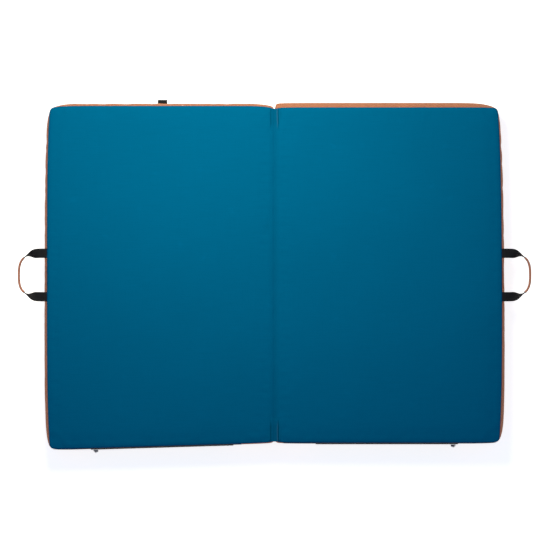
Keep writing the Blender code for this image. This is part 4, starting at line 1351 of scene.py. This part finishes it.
def closure_side(half, row, body, names, length):
    """Patch, webbing and buckle half of one closure on one half of the pad."""
    anchor, webbing, buckle = names
    start = closure_pivot(half, row)
    inward = Vector((-half["side"], 0, 0))
    patch_x = start.x + half["side"] * CLOSURE_PATCH[0] / 2
    patch_middle = Vector((patch_x, start.y, UNDER_BASE - PATCH_THICKNESS / 2))
    patch(anchor + "_patch", CLOSURE_PATCH, PATCH_THICKNESS, patch_middle, "closure_patch",
          half["name"] + "_half", anchor)
    bar = Vector((start.x, start.y, BUCKLE_Z)) + inward * length
    radius = bar_radius(*BUCKLE_BAR)
    fold_top = bar - inward * FOLD_BACK + Z_AXIS * radius
    fold_low = bar - inward * FOLD_BACK - Z_AXIS * radius
    path = spread(start, fold_top, 30) + spread(fold_top, bar + Z_AXIS * radius, 8)
    path += half_turn(bar, Z_AXIS, radius, Y_AXIS * -half["side"])
    path += spread(bar - Z_AXIS * radius, fold_low, 8)[1:] + [fold_low]
    strap(webbing + "_webbing", path, Y_AXIS, settings().webbing.width, body,
          webbing)
    softened(buckle, "moulded_plastic", body, BUCKLE_EDGE)


# Operators

FLOOR_REACH = 60.0
FLOOR_DROP = 0.0004
LAMP_PLACE = (-0.18, 0.75, 1.25)
LAMP_TILT = math.radians(-10)
SENSOR_WIDTH = 36
FARTHEST = 100


class CRASHPAD_OT_foam(Operator):
    """Finish the foam inside both halves"""

    bl_idname = "crash_pad.foam"
    bl_label = "Foam"

    def execute(self, context):
        for half in HALVES:
            for layer in ("firm_foam", "soft_foam"):
                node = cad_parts[half["name"] + "_" + layer]
                node.material_slots[0].material = finish_named(layer)
        return {"FINISHED"}


class CRASHPAD_OT_covers(Operator):
    """Make the landing cover, side walls and underside of both halves"""

    bl_idname = "crash_pad.covers"
    bl_label = "Covers"

    def execute(self, context):
        for half in HALVES:
            cover_half(half)
        return {"FINISHED"}


class CRASHPAD_OT_hinge(Operator):
    """Make the crease between the halves and the tabs at its ends"""

    bl_idname = "crash_pad.hinge"
    bl_label = "Hinge"

    def execute(self, context):
        hinge_crease()
        hinge_tab(BACK, "hinge_back_tab")
        hinge_tab(FRONT, "hinge_front_tab")
        return {"FINISHED"}


class CRASHPAD_OT_handles(Operator):
    """Make both carrying handles and the hang loop"""

    bl_idname = "crash_pad.handles"
    bl_label = "Handles"

    def execute(self, context):
        for half in HALVES:
            handle_webbing(half)
            handle_grip(half)
        hang_loop()
        return {"FINISHED"}


class CRASHPAD_OT_zips(Operator):
    """Make the zip in each front wall, and the black binding above it, which also paints shade along
    the front edge
    """

    bl_idname = "crash_pad.zips"
    bl_label = "Zips"

    def execute(self, context):
        for half in HALVES:
            zip_parts(half)
            front_binding_as_shade(half)
        return {"FINISHED"}


class CRASHPAD_OT_harness(Operator):
    """Make the shoulder harness under the left half"""

    bl_idname = "crash_pad.harness"
    bl_label = "Harness"

    def execute(self, context):
        middle = Vector((-HALF_CENTRE, YOKE_Y, UNDER_BASE - YOKE_THICKNESS / 2))
        patch("harness_yoke_patch", YOKE_PATCH, YOKE_THICKNESS, middle, "yoke_patch",
              "left_half", "harness_yoke")
        harness_strap(1, "inner")
        harness_strap(-1, "outer")
        return {"FINISHED"}


class CRASHPAD_OT_closures(Operator):
    """Make the closure straps and their buckles"""

    bl_idname = "crash_pad.closures"
    bl_label = "Closures"

    def execute(self, context):
        for row, name in ((BACK, "back"), (FRONT, "front")):
            plug = (name + "_closure_anchor", name + "_closure_strap", name + "_buckle_tongue")
            closure_side(LEFT, row, name + "_closure", plug, CLOSURE_LENGTH)
            socket = (name + "_socket_anchor", name + "_socket_tab", name + "_buckle_socket")
            closure_side(RIGHT, row, name + "_socket", socket, SOCKET_LENGTH)
        return {"FINISHED"}


class CRASHPAD_OT_stage(Operator):
    """Make the pale floor, the soft lights and the camera"""

    bl_idname = "crash_pad.stage"
    bl_label = "Stage"

    def execute(self, context):
        studio = settings().studio
        scene = context.scene
        bm = bmesh.new()
        bmesh.ops.create_grid(bm, x_segments=1, y_segments=1, size=FLOOR_REACH)
        mesh = bpy.data.meshes.new("floor")
        bm.to_mesh(mesh)
        bm.free()
        mesh.materials.append(finish_named("studio_floor"))
        floor = bpy.data.objects.new("floor", mesh)
        scene.collection.objects.link(floor)
        floor.location.z = -FLOOR_DROP

        world = bpy.data.worlds.new("studio")
        world.use_nodes = True
        sky = world.node_tree.nodes["Background"]
        sky.inputs["Color"].default_value = shade(studio.sky_tint, 1.0)
        sky.inputs["Strength"].default_value = studio.sky
        scene.world = world

        lamp_data = bpy.data.lights.new("soft_lamp", "AREA")
        lamp_data.shape = "DISK"
        lamp_data.size = studio.lamp_size
        lamp_data.energy = studio.lamp_power
        lamp_data.color = studio.lamp_tint
        lamp = bpy.data.objects.new("soft_lamp", lamp_data)
        lamp.location = LAMP_PLACE
        lamp.rotation_euler = (LAMP_TILT, 0, 0)
        lamp.visible_camera = False
        scene.collection.objects.link(lamp)

        seam_high = settings().cushion.seam_high
        camera_data = bpy.data.cameras.new("camera")
        camera_data.sensor_width = SENSOR_WIDTH
        distance = studio.camera_height - seam_high
        camera_data.lens = SENSOR_WIDTH * distance / studio.view_width
        camera_data.clip_end = FARTHEST
        camera = bpy.data.objects.new("camera", camera_data)
        camera.location = (studio.camera_aside, 0.0, studio.camera_height)
        scene.collection.objects.link(camera)
        scene.camera = camera
        scene.view_settings.view_transform = "Standard"
        return {"FINISHED"}


class CRASHPAD_PT_panel(Panel):
    """Lists the steps that make the pad."""

    bl_idname = "CRASHPAD_PT_panel"
    bl_label = "Crash Pad"
    bl_space_type = "VIEW_3D"
    bl_region_type = "UI"
    bl_category = "Crash Pad"

    def draw(self, context):
        for operator in OPERATORS:
            self.layout.operator(operator.bl_idname)
        for group in ("cushion", "filling", "webbing", "zip", "colours", "studio"):
            box = self.layout.box()
            chosen = getattr(context.scene.crash_pad, group)
            for name in chosen.bl_rna.properties.keys():
                if name not in ("name", "rna_type"):
                    box.prop(chosen, name)


GROUPS = (CushionSizes, FillingSettings, WebbingSizes, ZipSizes, Colours, StudioSettings, CrashPad)
OPERATORS = (
    CRASHPAD_OT_stage,
    CRASHPAD_OT_foam,
    CRASHPAD_OT_covers,
    CRASHPAD_OT_hinge,
    CRASHPAD_OT_handles,
    CRASHPAD_OT_zips,
    CRASHPAD_OT_harness,
    CRASHPAD_OT_closures,
)


def register():
    """Add the settings, operators and panel."""
    for part in (*GROUPS, *OPERATORS, CRASHPAD_PT_panel):
        bpy.utils.register_class(part)
    bpy.types.Scene.crash_pad = PointerProperty(type=CrashPad)


def unregister():
    """Take them away again."""
    del bpy.types.Scene.crash_pad
    for part in reversed((*GROUPS, *OPERATORS, CRASHPAD_PT_panel)):
        bpy.utils.unregister_class(part)


def main():
    """Make every piece."""
    register()
    for operator in OPERATORS:
        group, name = operator.bl_idname.split(".")
        getattr(getattr(bpy.ops, group), name)()


if __name__ == "__main__":
    main()
